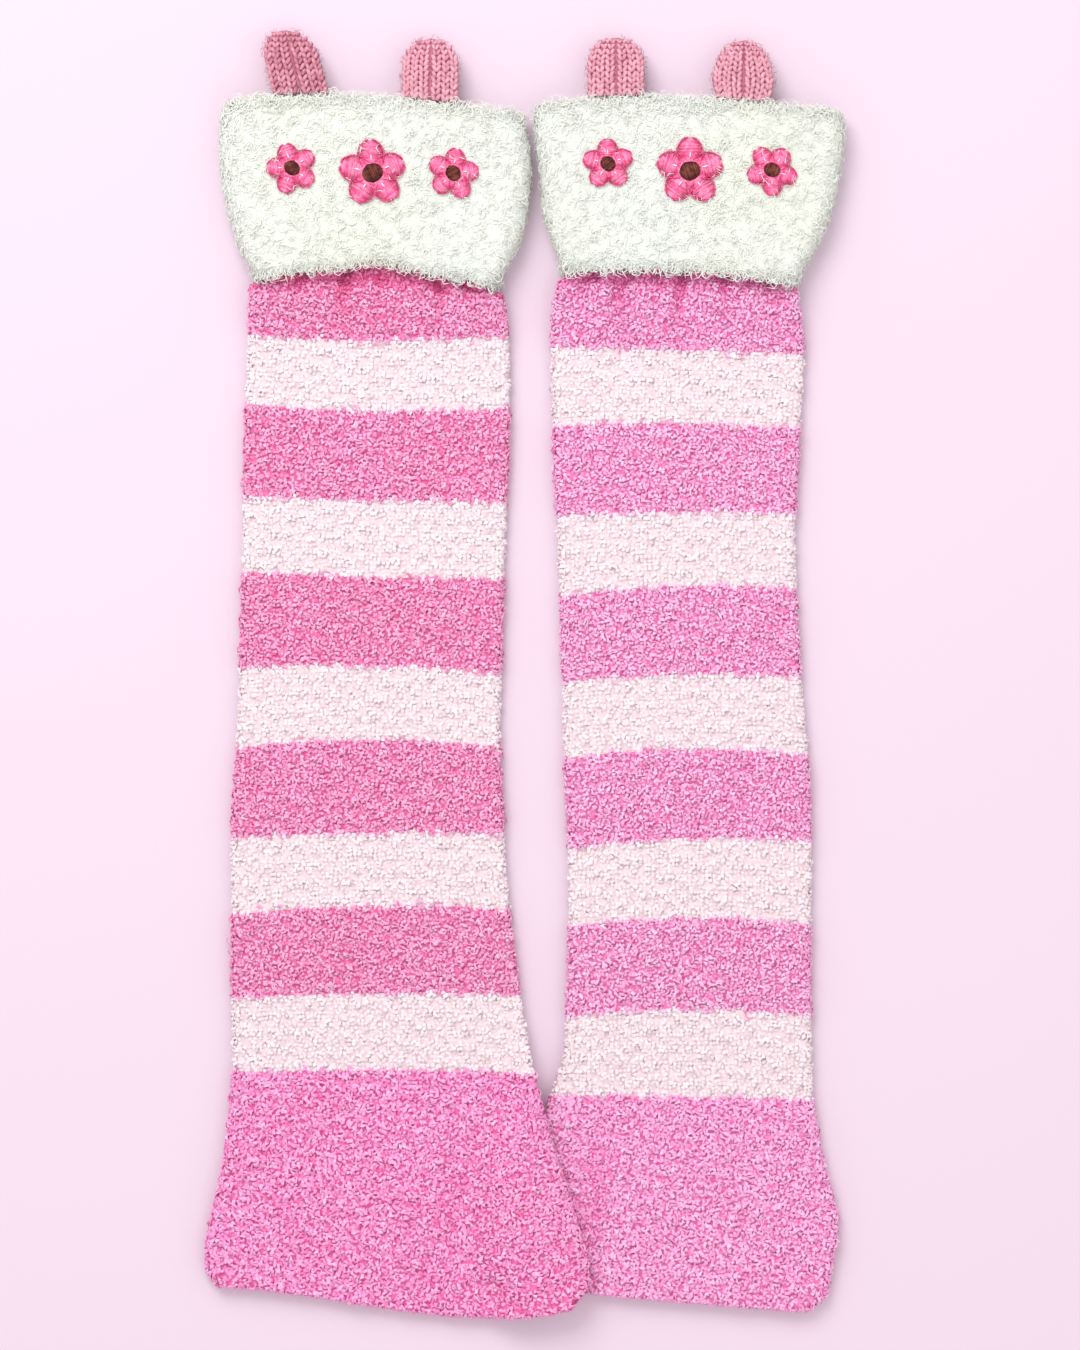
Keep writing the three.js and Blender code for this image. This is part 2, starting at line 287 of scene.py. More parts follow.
@dataclass(frozen=True)
class FlatTube:
    """A tube of cloth that lies flat: its section is a bar with round ends.

    around runs from 0 to 1 by arc length: from the right end of the front leftwards over it,
    round the left edge, back along the underside and round the right edge.
    """

    axis: float
    hem: float
    table: Table
    height: float
    side: Side
    lumps: Lumps

    def flat(self, up: Array) -> Array:
        """Half the width of the section's flat stretch."""
        return self.table.read(up).half - self.height / 2

    def girth(self, up: Array) -> Array:
        """Length once round the section."""
        return 4 * self.flat(up) + np.pi * self.height

    def around_at(self, x: Array, up: Array) -> Array:
        """The around value of a place on the front, x mm to the right of the axis."""
        from_middle = x - self.table.read(up).middle
        return (self.flat(up) - from_middle) / self.girth(up)

    def facing(self, around: Array, up: Array) -> Array:
        """How squarely a place faces up: 1 on the front, 0 at an edge, -1 underneath."""
        return np.cos(self.turn(around, up)[2])

    def turn(self, around: Array, up: Array) -> tuple[Array, Array, Array]:
        """Splits around into the runs over the front and underside, and the turn at the edges.

        Args:
            around: Place round the section, from 0 to 1.
            up: Height above the hem's middle, in mm.

        Returns:
            The run over the front, the run along the underside, and the angle turned so far.
        """
        bar = 2 * self.flat(up)
        bend = np.pi * self.height / 2
        run = (around % 1.0) * (2 * bar + 2 * bend)
        over = np.clip(run, 0, bar)
        under = np.clip(run - bar - bend, 0, bar)
        edges = np.clip(run - bar, 0, bend) + np.clip(run - 2 * bar - bend, 0, bend)
        return over, under, edges * 2 / self.height

    def place(self, around: Array, up: Array, inset: Array | float = 0.0) -> Array:
        """Places points of the cloth: a bar with round ends swept up the leg.

        The section's line on the floor is tilt/2 s - bow s^2 + swing (s^3 - s), where s runs
        from -1 at the left edge to 1 at the right one.

        Args:
            around: Place round the section, from 0 to 1.
            up: Height above the hem's middle, in mm.
            inset: How far the point lies inside the outer surface, in mm.

        Returns:
            Points in mm, with the last axis x, y, z.
        """
        around, up, inset = np.broadcast_arrays(around, up, inset)
        section = self.table.read(up)
        over, under, turn = self.turn(around, up)
        sine, cosine = np.sin(turn), np.cos(turn)
        flat_x = self.flat(up) - over + under
        reach = self.height / 2 - inset
        outside = inset < LEG_WALL * OUTER_SHARE
        reach = reach + self.lumps.depth * self.lump(around, up) * outside
        x = flat_x - sine * reach
        z = self.height / 2 + cosine * reach
        s = x / section.half
        line = section.tilt / 2 * s - section.bow * s**2 + section.swing * (s**3 - s)
        spot = np.stack([self.axis + section.middle + x, self.hem + up + line, z], axis=-1)
        sunk = smoothstep(cosine) * self.sunk(spot, up, s)
        spot[..., 2] -= np.where(outside, sunk, np.minimum(sunk, INNER_SINK))
        return self.settle(spot, up)

    def lump(self, around: Array, up: Array) -> Array:
        """The lumps' height, from about -1 to 1, the same on both sides of the tube's start."""
        over, under, turn = self.turn(around, up)
        x = self.flat(up) - over + under - np.sin(turn) * self.height / 2
        field = waves(x + np.cos(turn) * self.height, up, self.lumps.pitch, self.lumps.seed)
        return field * self.lumpy(x, up)

    def lumpy(self, x: Array, up: Array) -> Array:
        """How much of the lumps a place keeps. A plain tube keeps them all."""
        return np.ones(x.shape)

    def sunk(self, spot: Array, up: Array, s: Array) -> Array:
        """How deep the front is sunk at each place."""
        return np.zeros(up.shape)

    def settle(self, spot: Array, up: Array) -> Array:
        """Moves points to how this cloth lies. A plain tube lies flat."""
        return spot

    def frame(self, around: Array, up: Array, inset: Array | float) -> Frame:
        """The points and the directions there, from small steps along the cloth."""
        step = 0.4
        turn = step / self.girth(up)
        point = self.place(around, up, inset)
        right = self.place(around - turn, up, inset) - self.place(around + turn, up, inset)
        low = np.maximum(up - step, self.table.bottom)
        high = np.minimum(up + step, self.table.top)
        rise = self.place(around, high, inset) - self.place(around, low, inset)
        out = unit(np.cross(right, rise))
        right = unit(right)
        return Frame(point, right, np.cross(out, right), out)

    def soft_edge(
        self, at: float, over: int, outer: float, inner: float, pitch: float, rng: np.random.Generator
    ) -> Frame:
        """Frames spread over a soft edge: half a circle from the outer inset round to the inner one.

        Args:
            at: Height of the edge's crest, in mm.
            over: 1 for an upper edge, -1 for a lower one.
            outer: Inset where the half circle starts, in mm.
            inner: Inset where it ends, in mm.
            pitch: Distance between neighbours, in mm.
            rng: Source of their places.

        Returns:
            The frames, each square to the soft edge.
        """
        radius = (inner - outer) / 2
        span = np.pi * radius
        low = at - span if over > 0 else at
        around, run = self.scatter(low, low + span, pitch, rng)
        angle = (run - low) / radius
        up = at - over * radius * (1 - np.sin(angle))
        return self.frame(around, up, outer + radius * (1 - np.cos(angle))).rolled(over * angle)

    def scatter(
        self,
        low: float,
        high: float,
        pitch: float,
        rng: np.random.Generator,
        stray: float = 0.45,
        brick: float = 0.5,
    ) -> tuple[Array, Array]:
        """Spreads places evenly over a stretch of the tube, in rows, each shaken a little.

        Args:
            low: Lower end of the stretch, in mm.
            high: Upper end of the stretch, in mm.
            pitch: Distance between neighbours, in mm.
            rng: Source of the shaking.
            stray: How far a place may be shaken, against the pitch.
            brick: How far every other row is shifted, against the pitch.

        Returns:
            The around and up values of the places.
        """
        count = max(round((high - low) / pitch), 1)
        rows = low + (np.arange(count) + 0.5) * (high - low) / count
        wales = np.round(self.girth(rows) / pitch).astype(int)
        row = np.repeat(np.arange(count), wales)
        first = np.repeat(np.cumsum(wales) - wales, wales)
        column = np.arange(len(row)) - first + brick * (row % 2)
        shake = rng.uniform(-stray, stray, (2, len(row)))
        around = (column + shake[0]) / wales[row]
        up = np.clip(rows[row] + shake[1] * pitch, low, high)
        return around % 1.0, up


@dataclass(frozen=True)
class LegTube(FlatTube):
    """The striped knitted tube, which climbs into its cuff and is gathered there."""

    neck: float
    stripes: tuple[float, ...]
    gathers: tuple[Gather, ...]
    troughs: tuple[Trough, ...]
    over: LegTube | None = None

    def settle(self, spot: Array, up: Array) -> Array:
        """Lifts the leg into its cuff and over its neighbour."""
        rise = LEG_RISE * smoothstep((up - self.neck + RISE_END_BELOW_NECK) / RISE_RUN + 1)
        lift = self.over.lift_beside(spot) if self.over else 0.0
        spot[..., 2] += rise + lift
        return spot

    def sunk(self, spot: Array, up: Array, s: Array) -> Array:
        """Depth of the troughs, the pinch at the neck and the gathers."""
        below = np.maximum(self.neck - up, 0)
        pinch = NECK_PINCH * np.exp(-((below / NECK_PINCH_RUN) ** 2))
        return sunk_by(self.troughs, spot[..., 0] - self.axis, up) + pinch + self.gathered(up, s)

    def gathered(self, up: Array, s: Array) -> Array:
        """Depth of the gathers: a bell across each, which fades down the leg."""
        depth = np.zeros(np.broadcast(up, s).shape)
        for gather in self.gathers:
            side = (s - gather.at) * NECK_HALF / gather.width
            below = np.maximum(self.neck - up, 0) / gather.run
            depth += gather.depth * np.exp(-(side**2) - below**2)
        return depth

    def hollow(self, points: Array, up: Array) -> Array:
        """How deep the gathers and troughs are at points of the front."""
        x = points[:, 0] - self.axis
        section = self.table.read(up)
        return self.gathered(up, (x - section.middle) / section.half) + sunk_by(self.troughs, x, up)

    def left_edge(self) -> tuple[Array, Array]:
        """The left edge on the floor plan, as x over y, one point for each row."""
        rows = np.array(self.table.rows)
        up, left, right, tilt, bow, _ = rows.T
        return self.hem + up - tilt / 2 - bow, self.axis - left

    def lift_beside(self, spot: Array) -> Array:
        """How far this leg's left edge holds up cloth that lies over it."""
        edge_y, edge_x = self.left_edge()
        reach = spot[..., 0] - np.interp(spot[..., 1], edge_y, edge_x) + OVERLAP_MARGIN
        below = smoothstep((OVERLAP_TOP - spot[..., 1]) / OVERLAP_FADE)
        return OVERLAP_LIFT * below * smoothstep(reach / OVERLAP_RAMP + 1)

    def is_pink(self, up: Array) -> Array:
        """Whether a height lies in a pink stripe; the hem band is the first one."""
        return np.searchsorted(np.array(self.stripes), up, side="right") % 2 == 0


@dataclass(frozen=True)
class CuffTube(FlatTube):
    """The plush cuff, turned down over the leg's top end."""

    arch: Arch
    troughs: tuple[Trough, ...]
    flowers: tuple[Flower, ...]

    def lumpy(self, x: Array, up: Array) -> Array:
        """Embroidery presses the fleece flat."""
        kept = np.ones(x.shape)
        for flower in self.flowers:
            reach = np.hypot(x - flower.x + self.table.read(up).middle, up - flower.up)
            kept *= smoothstep((reach - flower.radius) / FLOWER_MARGIN)
        return kept

    def settle(self, spot: Array, up: Array) -> Array:
        """Arches the free edge."""
        side = (spot[..., 0] - self.axis - self.arch.x) / self.arch.wide
        fade = np.maximum(up - self.table.bottom, 0) / self.arch.fade
        spot[..., 1] += self.arch.rise * np.exp(-(side**2) - fade)
        return spot

    def sunk(self, spot: Array, up: Array, s: Array) -> Array:
        """Depth of the soft troughs."""
        return sunk_by(self.troughs, spot[..., 0] - self.axis, up)


def sunk_by(troughs: tuple[Trough, ...], x: Array, up: Array) -> Array:
    """Depth of the troughs: an oval bell round each one's middle."""
    depth = np.zeros(np.broadcast(x, up).shape)
    for trough in troughs:
        turn = np.radians(trough.turn)
        dx, dy = x - trough.x, up - trough.up
        along = (dx * np.cos(turn) + dy * np.sin(turn)) / trough.long
        across = (dy * np.cos(turn) - dx * np.sin(turn)) / trough.wide
        depth += trough.depth * np.exp(-(along**2) - across**2)
    return depth


class Growth(NamedTuple):
    """A mesh in the making: points in mm, triangles, and what each point says of its curl.

    shade is a curl's own tone, to which the leg's pile adds painted light and shade; rise is how far a point
    lies above the cloth, which the material paints as shade low down and light high up; and normals, where
    given, soften the shading.
    """

    points: Array
    triangles: Array
    shade: Array
    rise: Array
    normals: Array | None = None


def joined(growths: list[Growth]) -> Growth:
    """Puts several growths into one."""
    counts = np.cumsum([0] + [len(growth.points) for growth in growths[:-1]])
    return Growth(
        np.concatenate([growth.points for growth in growths]),
        np.concatenate([growth.triangles + count for growth, count in zip(growths, counts)]),
        np.concatenate([growth.shade for growth in growths]),
        np.concatenate([growth.rise for growth in growths]),
        np.concatenate([growth.normals for growth in growths]),
    )


@dataclass(frozen=True)
class Strand:
    """One kind of curl, hair, stitch or thread, with each size as a lowest and highest value.

    A strand is a thin closed tube on a bent line. With lean 0 both ends go down into the cloth
    and it arches between them; with lean 1 it rises from its root to a free tip. The softer it
    is, the more its shading is that of the cloth it grows on.
    """

    length: tuple[float, float]
    width: tuple[float, float]
    lift: tuple[float, float]
    bend: float
    bury: float
    lean: float = 0.0
    rings: int = 3
    corners: int = 3
    taper: float = 0.0
    soft: float = 0.0

    def triangles(self) -> Array:
        """The faces of one strand: a fan at each tip and a band between neighbouring rings."""
        corner = np.arange(self.corners)
        after = (corner + 1) % self.corners
        tip = 1 + self.rings * self.corners
        last = tip - self.corners
        parts = [np.stack([np.zeros_like(corner), 1 + after, 1 + corner], axis=1)]
        for ring in range(self.rings - 1):
            here = 1 + ring * self.corners
            there = here + self.corners
            parts.append(np.stack([here + corner, here + after, there + corner], axis=1))
            parts.append(np.stack([here + after, there + after, there + corner], axis=1))
        parts.append(np.stack([last + corner, last + after, np.full_like(corner, tip)], axis=1))
        return np.concatenate(parts)

    def grow(
        self,
        frame: Frame,
        heading: Array,
        rng: np.random.Generator,
        scale: Array | float = 1.0,
        tone: Array | float = 0.0,
    ) -> Growth:
        """Grows one strand at each point of the frame.

        Its line runs along the heading; it bends sideways as a parabola and rises as half a
        sine wave, or along a root curve to a free tip.

        Args:
            frame: Roots and directions on the cloth.
            heading: Each strand's direction, in radians from the cloth's right.
            rng: Source of each strand's own sizes.
            scale: Size of each strand against the others.
            tone: How much lighter each strand is than its like; the leg's pile gives its painted light and
                shade here.

        Returns:
            The strands as one growth.
        """
        count = len(heading)
        length, width, lift = (
            (rng.uniform(*span, count) * scale)[:, None] for span in (self.length, self.width, self.lift)
        )
        bend = rng.uniform(-self.bend, self.bend, count)[:, None]
        shade = rng.uniform(0, 1, count) + tone
        s = np.linspace(0, 1, self.rings + 2)[None, :]
        ahead = length * (s - 0.5 * (1 - self.lean))
        aside = length * bend * (4 * (s - 0.5) ** 2 - 1)
        arched = np.sin(np.pi * s)
        height = lift * ((1 - self.lean) * arched + self.lean * s**0.8) - self.bury
        cosine, sine = np.cos(heading)[:, None], np.sin(heading)[:, None]
        forward = cosine * frame.right + sine * frame.up
        left = cosine * frame.up - sine * frame.right
        line = frame.point[:, None] + ahead[..., None] * forward[:, None]
        line = line + aside[..., None] * left[:, None] + height[..., None] * frame.out[:, None]
        along = unit(np.gradient(line, axis=1))
        beside = unit(np.cross(frame.out[:, None], along))
        above = np.cross(along, beside)
        # Rounded off towards both ends, and tapered
        girth = np.sin(np.pi * (0.14 + 0.72 * s)) ** 0.7 * (1 - self.taper * s)
        radius = (width / 2 * girth)[:, 1:-1, None, None]
        angle = np.pi / 2 + np.pi * (1 + 2 * np.arange(self.corners)) / self.corners
        ring = np.cos(angle)[:, None] * beside[:, 1:-1, None]
        ring = ring + np.sin(angle)[:, None] * above[:, 1:-1, None]
        hoops = (line[:, 1:-1, None] + radius * ring).reshape(count, -1, 3)
        points = np.concatenate([line[:, :1], hoops, line[:, -1:]], axis=1)
        flat_ring = ring.reshape(count, -1, 3)
        normals = np.concatenate([-along[:, :1], flat_ring, along[:, -1:]], axis=1)
        lit = np.maximum(frame.out[:, 2], 0)
        normals = unit(normals + (self.soft * lit[:, None] * frame.out)[:, None])
        # The rise: each point's height above the cloth, which the material turns into painted shade low down
        # and painted light high up
        level = np.clip((height + self.bury) / np.maximum(lift, 0.05), 0, 1)
        # How high each corner lies, against the two upper ones of three: the lower corners take less rise,
        # which the material paints as shade on each strand's sides and underside
        height_share = (0.35 + 0.65 * np.sin(angle)).clip(0, 1) / 0.675
        middle = (level[:, 1:-1, None] * height_share).reshape(count, -1)
        rise = np.concatenate([level[:, :1], middle, level[:, -1:]], axis=1)
        one = self.triangles()
        triangles = one[None] + (np.arange(count) * points.shape[1])[:, None, None]
        points = points.reshape(-1, 3)
        points[:, 2] = np.maximum(points[:, 2], FLOOR_CLEARANCE)
        shade = np.repeat(shade, rise.shape[1])
        return Growth(points, triangles.reshape(-1, 3), shade, rise.ravel(), normals.reshape(-1, 3))


# The kinds of strand
HEM_CURL = Strand((1.8, 3.6), (1.3, 1.9), (0.3, 0.85), bend=0.35, bury=0.15, rings=1, soft=1.4)
STRIPE_CURL = Strand((1.6, 2.8), (1.3, 1.8), (0.3, 0.85), bend=0.35, bury=0.15, rings=1, soft=1.1)
WISP = Strand((2.8, 5.0), (0.6, 0.9), (0.9, 1.4), bend=0.6, bury=0.1, rings=2, soft=0.9)
PALE_CURL = Strand((1.8, 2.7), (1.8, 2.3), (0.18, 0.38), bend=0.2, bury=0.25, rings=1, soft=2.0)
BACK_CURL = Strand((3.4, 5.4), (2.3, 3.1), (0.4, 0.8), bend=0.3, bury=0.1, rings=1, soft=0.5)
FLEECE = Strand((2.6, 4.6), (0.5, 0.8), (0.05, 0.35), bend=0.5, bury=0.15, rings=2, taper=0.2, soft=3.0)
FLUFF = Strand(
    (2.6, 5.4), (0.45, 0.65), (0.6, 1.9), bend=0.9, bury=0.1, lean=1, rings=2, taper=0.5, soft=1.0
)
KNIT_YARN = Strand((3.5, 3.9), (1.75, 1.95), (0.55, 0.75), bend=0.06, bury=0.25, rings=4, corners=5)
KNIT_FUZZ = Strand((1.2, 2.6), (0.2, 0.3), (0.4, 1.1), bend=0.6, bury=0.1, lean=1, rings=2, taper=0.6)


def colour(red: float, green: float, blue: float) -> tuple[float, float, float, float]:
    """Turns a screen colour, 0 to 255, into the linear values that shaders take."""
    values = np.array([red, green, blue]) / 255
    linear = np.where(values > 0.04045, ((values + 0.055) / 1.055) ** 2.4, values / 12.92)
    return (*linear.tolist(), 1.0)


# How much a curl's own shade, its height, the nap and the fibres each add to its tone; the height share is
# painted shade low down and painted light high up
TONE_SHARES = (0.3, 0.36, 0.24, 0.2)

# Where the deep and the body tones lie between the depths, 0, and the tips, 1
DEEP_AT = 0.2
BODY_AT = 0.6

# The middle values of a noise, which hold nearly all of it
NOISE_LOW = 0.32
NOISE_HIGH = 0.68

# Size of the patches that a cloth's cast comes and goes in
PATCH_MM = 60.0


@dataclass(frozen=True)
class Yarn:
    """The finish of one yarn or thread: its tones from the depths to the tips, darker low down as painted
    shade and lighter high up as painted light, and its sheen.

    cast is the tint, as shares of red, green and blue, that slow patches of the cloth take on.
    pit is how much of the deep tone is left where no light gets in.
    """

    name: str
    deep: tuple[float, float, float]
    body: tuple[float, float, float]
    tip: tuple[float, float, float]
    cast: tuple[float, float, float] = (1.0, 1.0, 1.0)
    pit: float = 0.8
    sheen: float = 0.1
    roughness: float = 0.92
    nap_mm: float = 1.5
    fibre_mm: float = 0.5
    fibre_depth_mm: float = 0.12

    def material(self) -> bpy.types.Material:
        """Makes the material: tone by curl, by height as painted shade and light, and by nap, a slow cast
        and a fibre bump.

        Returns:
            The material, made once and then shared.
        """
        made = bpy.data.materials.get(self.name)
        if made:
            return made
        material = bpy.data.materials.new(self.name)
        material.use_nodes = True
        nodes, links = material.node_tree.nodes, material.node_tree.links
        shader = nodes["Principled BSDF"]
        place = nodes.new("ShaderNodeTexCoord").outputs["Object"]
        nap = stretched(material, noise(material, place, self.nap_mm))
        fibre = noise(material, place, self.fibre_mm)
        patch = stretched(material, noise(material, place, PATCH_MM))
        shade = nodes.new("ShaderNodeAttribute")
        shade.attribute_name = "shade"
        rise = nodes.new("ShaderNodeAttribute")
        rise.attribute_name = "rise"
        sources = (shade.outputs["Fac"], rise.outputs["Fac"], nap, fibre)
        tone = weighted(material, tuple(zip(sources, TONE_SHARES)))
        ramp = nodes.new("ShaderNodeValToRGB")
        links.new(tone, ramp.inputs["Fac"])
        stops = ramp.color_ramp.elements
        stops[0].position, stops[0].color = 0.0, colour(*(self.pit * value for value in self.deep))
        stops[1].position, stops[1].color = 1.0, colour(*self.tip)
        for position, tint in ((DEEP_AT, self.deep), (BODY_AT, self.body)):
            stops.new(position).color = colour(*tint)
        tinted = nodes.new("ShaderNodeMixRGB")
        tinted.blend_type = "MULTIPLY"
        links.new(patch, tinted.inputs["Fac"])
        links.new(ramp.outputs["Color"], tinted.inputs["Color1"])
        tinted.inputs["Color2"].default_value = (*self.cast, 1.0)
        links.new(tinted.outputs["Color"], shader.inputs["Base Color"])
        bump = nodes.new("ShaderNodeBump")
        bump.inputs["Strength"].default_value = 0.6
        bump.inputs["Distance"].default_value = self.fibre_depth_mm * MM
        links.new(fibre, bump.inputs["Height"])
        links.new(bump.outputs["Normal"], shader.inputs["Normal"])
        shader.inputs["Roughness"].default_value = self.roughness
        shader.inputs["Specular IOR Level"].default_value = 0.25
        shader.inputs["Sheen Weight"].default_value = self.sheen
        shader.inputs["Sheen Roughness"].default_value = 0.5
        shader.inputs["Sheen Tint"].default_value = colour(*self.tip)
        return material


def noise(
    material: bpy.types.Material, place: bpy.types.NodeSocket, size_mm: float
) -> bpy.types.NodeSocket:
    """Adds a noise texture of one cell size and returns its value socket."""
    node = material.node_tree.nodes.new("ShaderNodeTexNoise")
    node.inputs["Scale"].default_value = 1 / (size_mm * MM)
    node.inputs["Detail"].default_value = 1.0
    material.node_tree.links.new(place, node.inputs["Vector"])
    return node.outputs["Fac"]


def stretched(material: bpy.types.Material, value: bpy.types.NodeSocket) -> bpy.types.NodeSocket:
    """Spreads a noise's middle values over the range from 0 to 1."""
    node = material.node_tree.nodes.new("ShaderNodeMapRange")
    node.inputs["From Min"].default_value = NOISE_LOW
    node.inputs["From Max"].default_value = NOISE_HIGH
    material.node_tree.links.new(value, node.inputs["Value"])
    return node.outputs["Result"]


def weighted(
    material: bpy.types.Material, terms: tuple[tuple[bpy.types.NodeSocket, float], ...]
) -> bpy.types.NodeSocket:
    """Adds up sockets, each times its weight, and returns the sum's socket."""
    total = None
    for socket, weight in terms:
        node = material.node_tree.nodes.new("ShaderNodeMath")
        node.operation = "MULTIPLY_ADD"
        material.node_tree.links.new(socket, node.inputs[0])
        node.inputs[1].default_value = weight
        node.inputs[2].default_value = 0.0
        if total is not None:
            material.node_tree.links.new(total, node.inputs[2])
        total = node.outputs[0]
    return total


# The yarns and threads, each with its deep, body and tip tones
PINK = Yarn(
    "pink feather yarn", (237, 93, 155), (245, 162, 209), (254, 201, 231), cast=(1.0, 0.95, 0.94)
)
LILAC_PINK = Yarn(
    "lilac pink yarn", (243, 92, 160), (251, 160, 218), (255, 203, 236), cast=(1.0, 0.97, 0.95)
)
MILKY_PINK = Yarn("milky lilac pink yarn", (245, 110, 175), (251, 172, 222), (255, 207, 239), pit=0.88)
SOFT_PINK = Yarn(
    "soft pink feather yarn", (239, 106, 170), (248, 176, 220), (254, 213, 241), cast=(1.0, 0.98, 1.0)
)
PALE = Yarn("pale pink feather yarn", (238, 207, 215), (245, 227, 233), (249, 236, 242))
PLUSH = Yarn(
    "cream plush", (237, 239, 231), (237, 240, 235), (240, 243, 238), cast=(1.0, 0.985, 0.94), pit=0.95
)
EAR = Yarn(
    "dusty pink knitting yarn", (168, 88, 106), (211, 143, 161), (232, 172, 188), pit=0.88, fibre_mm=0.35
)
THREAD_PINK = Yarn("pink embroidery thread", (186, 30, 84), (246, 88, 146), (255, 164, 200))
THREAD_BROWN = Yarn("brown embroidery thread", (34, 10, 8), (78, 32, 28), (136, 74, 62))
THREAD_WHITE = Yarn("white embroidery thread", (220, 220, 216), (250, 250, 250), (255, 255, 255))


def mesh_piece(
    name: str, growth: Growth, finishes: tuple[Yarn, ...], finish_of: Array | None = None
) -> bpy.types.Object:
    """Makes a growth a Blender object, in metres.

    Args:
        name: The piece's name.
        growth: Its points, triangles and attributes.
        finishes: The yarns that it is made of.
        finish_of: Which of them each triangle takes, where there are several.

    Returns:
        The object, linked to the scene.
    """
    mesh = bpy.data.meshes.new(name)
    count = len(growth.triangles)
    mesh.vertices.add(len(growth.points))
    mesh.vertices.foreach_set("co", (growth.points * MM).astype(np.float32).ravel())
    mesh.loops.add(count * 3)
    mesh.loops.foreach_set("vertex_index", growth.triangles.astype(np.int32).ravel())
    mesh.polygons.add(count)
    mesh.polygons.foreach_set("loop_start", np.arange(0, count * 3, 3, dtype=np.int32))
    mesh.polygons.foreach_set("use_smooth", np.ones(count, dtype=bool))
    for finish in finishes:
        mesh.materials.append(finish.material())
    if finish_of is not None:
        mesh.polygons.foreach_set("material_index", finish_of.astype(np.int32))
    for label, values in (("shade", growth.shade), ("rise", growth.rise)):
        attribute = mesh.attributes.new(label, "FLOAT", "POINT")
        attribute.data.foreach_set("value", values.astype(np.float32))
    mesh.update(calc_edges=True)
    if growth.normals is not None:
        mesh.normals_split_custom_set_from_vertices(growth.normals.astype(np.float32))
    piece = bpy.data.objects.new(name, mesh)
    bpy.context.scene.collection.objects.link(piece)
    LOG.info("%s: %d triangles", name, count)
    return piece


def dressed(piece: bpy.types.Object, node: str | None = None) -> bpy.types.Object:
    """Makes a piece ride on the part, and lets it stand for a node.

    Args:
        piece: The finished piece.
        node: The CAD node that it stands for, if it does.

    Returns:
        The piece.
    """
    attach(piece, "root")
    if node:
        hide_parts(node)
    return piece


def wall(tube: FlatTube, profile: Array, steps: int) -> Growth:
    """Sweeps a closed profile round a tube: a torus of rings, up the outside and down the inside.

    Args:
        tube: The tube whose cloth it is.
        profile: Rows of up and inset that close on themselves.
        steps: Points round each ring.

    Returns:
        The wall as a growth.
    """
    around = (np.arange(steps) / steps)[None, :]
    up, inset = profile[:, :1], profile[:, 1:]
    points = tube.place(around, up, inset)
    rings = len(profile)
    here = np.arange(rings * steps).reshape(rings, steps)
    after = np.roll(here, -1, axis=1)
    above = np.roll(here, -1, axis=0)
    corner = np.roll(above, -1, axis=1)
    faces = np.stack([here, above, after, after, above, corner], axis=-1)
    count = rings * steps
    points[..., 2] = np.maximum(points[..., 2], FLOOR_CLEARANCE)
    return Growth(points.reshape(-1, 3), faces.reshape(-1, 3), np.full(count, SHELL_SHADE), np.zeros(count))


def hem_round(up: float, outer: float, inner: float, steps: int = 5) -> Array:
    """A soft edge: half a circle from the inner inset round to the outer one, as up and inset."""
    angle = np.pi * np.arange(1, steps) / steps
    radius = (inner - outer) / 2
    middle = (inner + outer) / 2
    return np.stack([up + radius * (1 - np.sin(angle)), middle + radius * np.cos(angle)], axis=1)


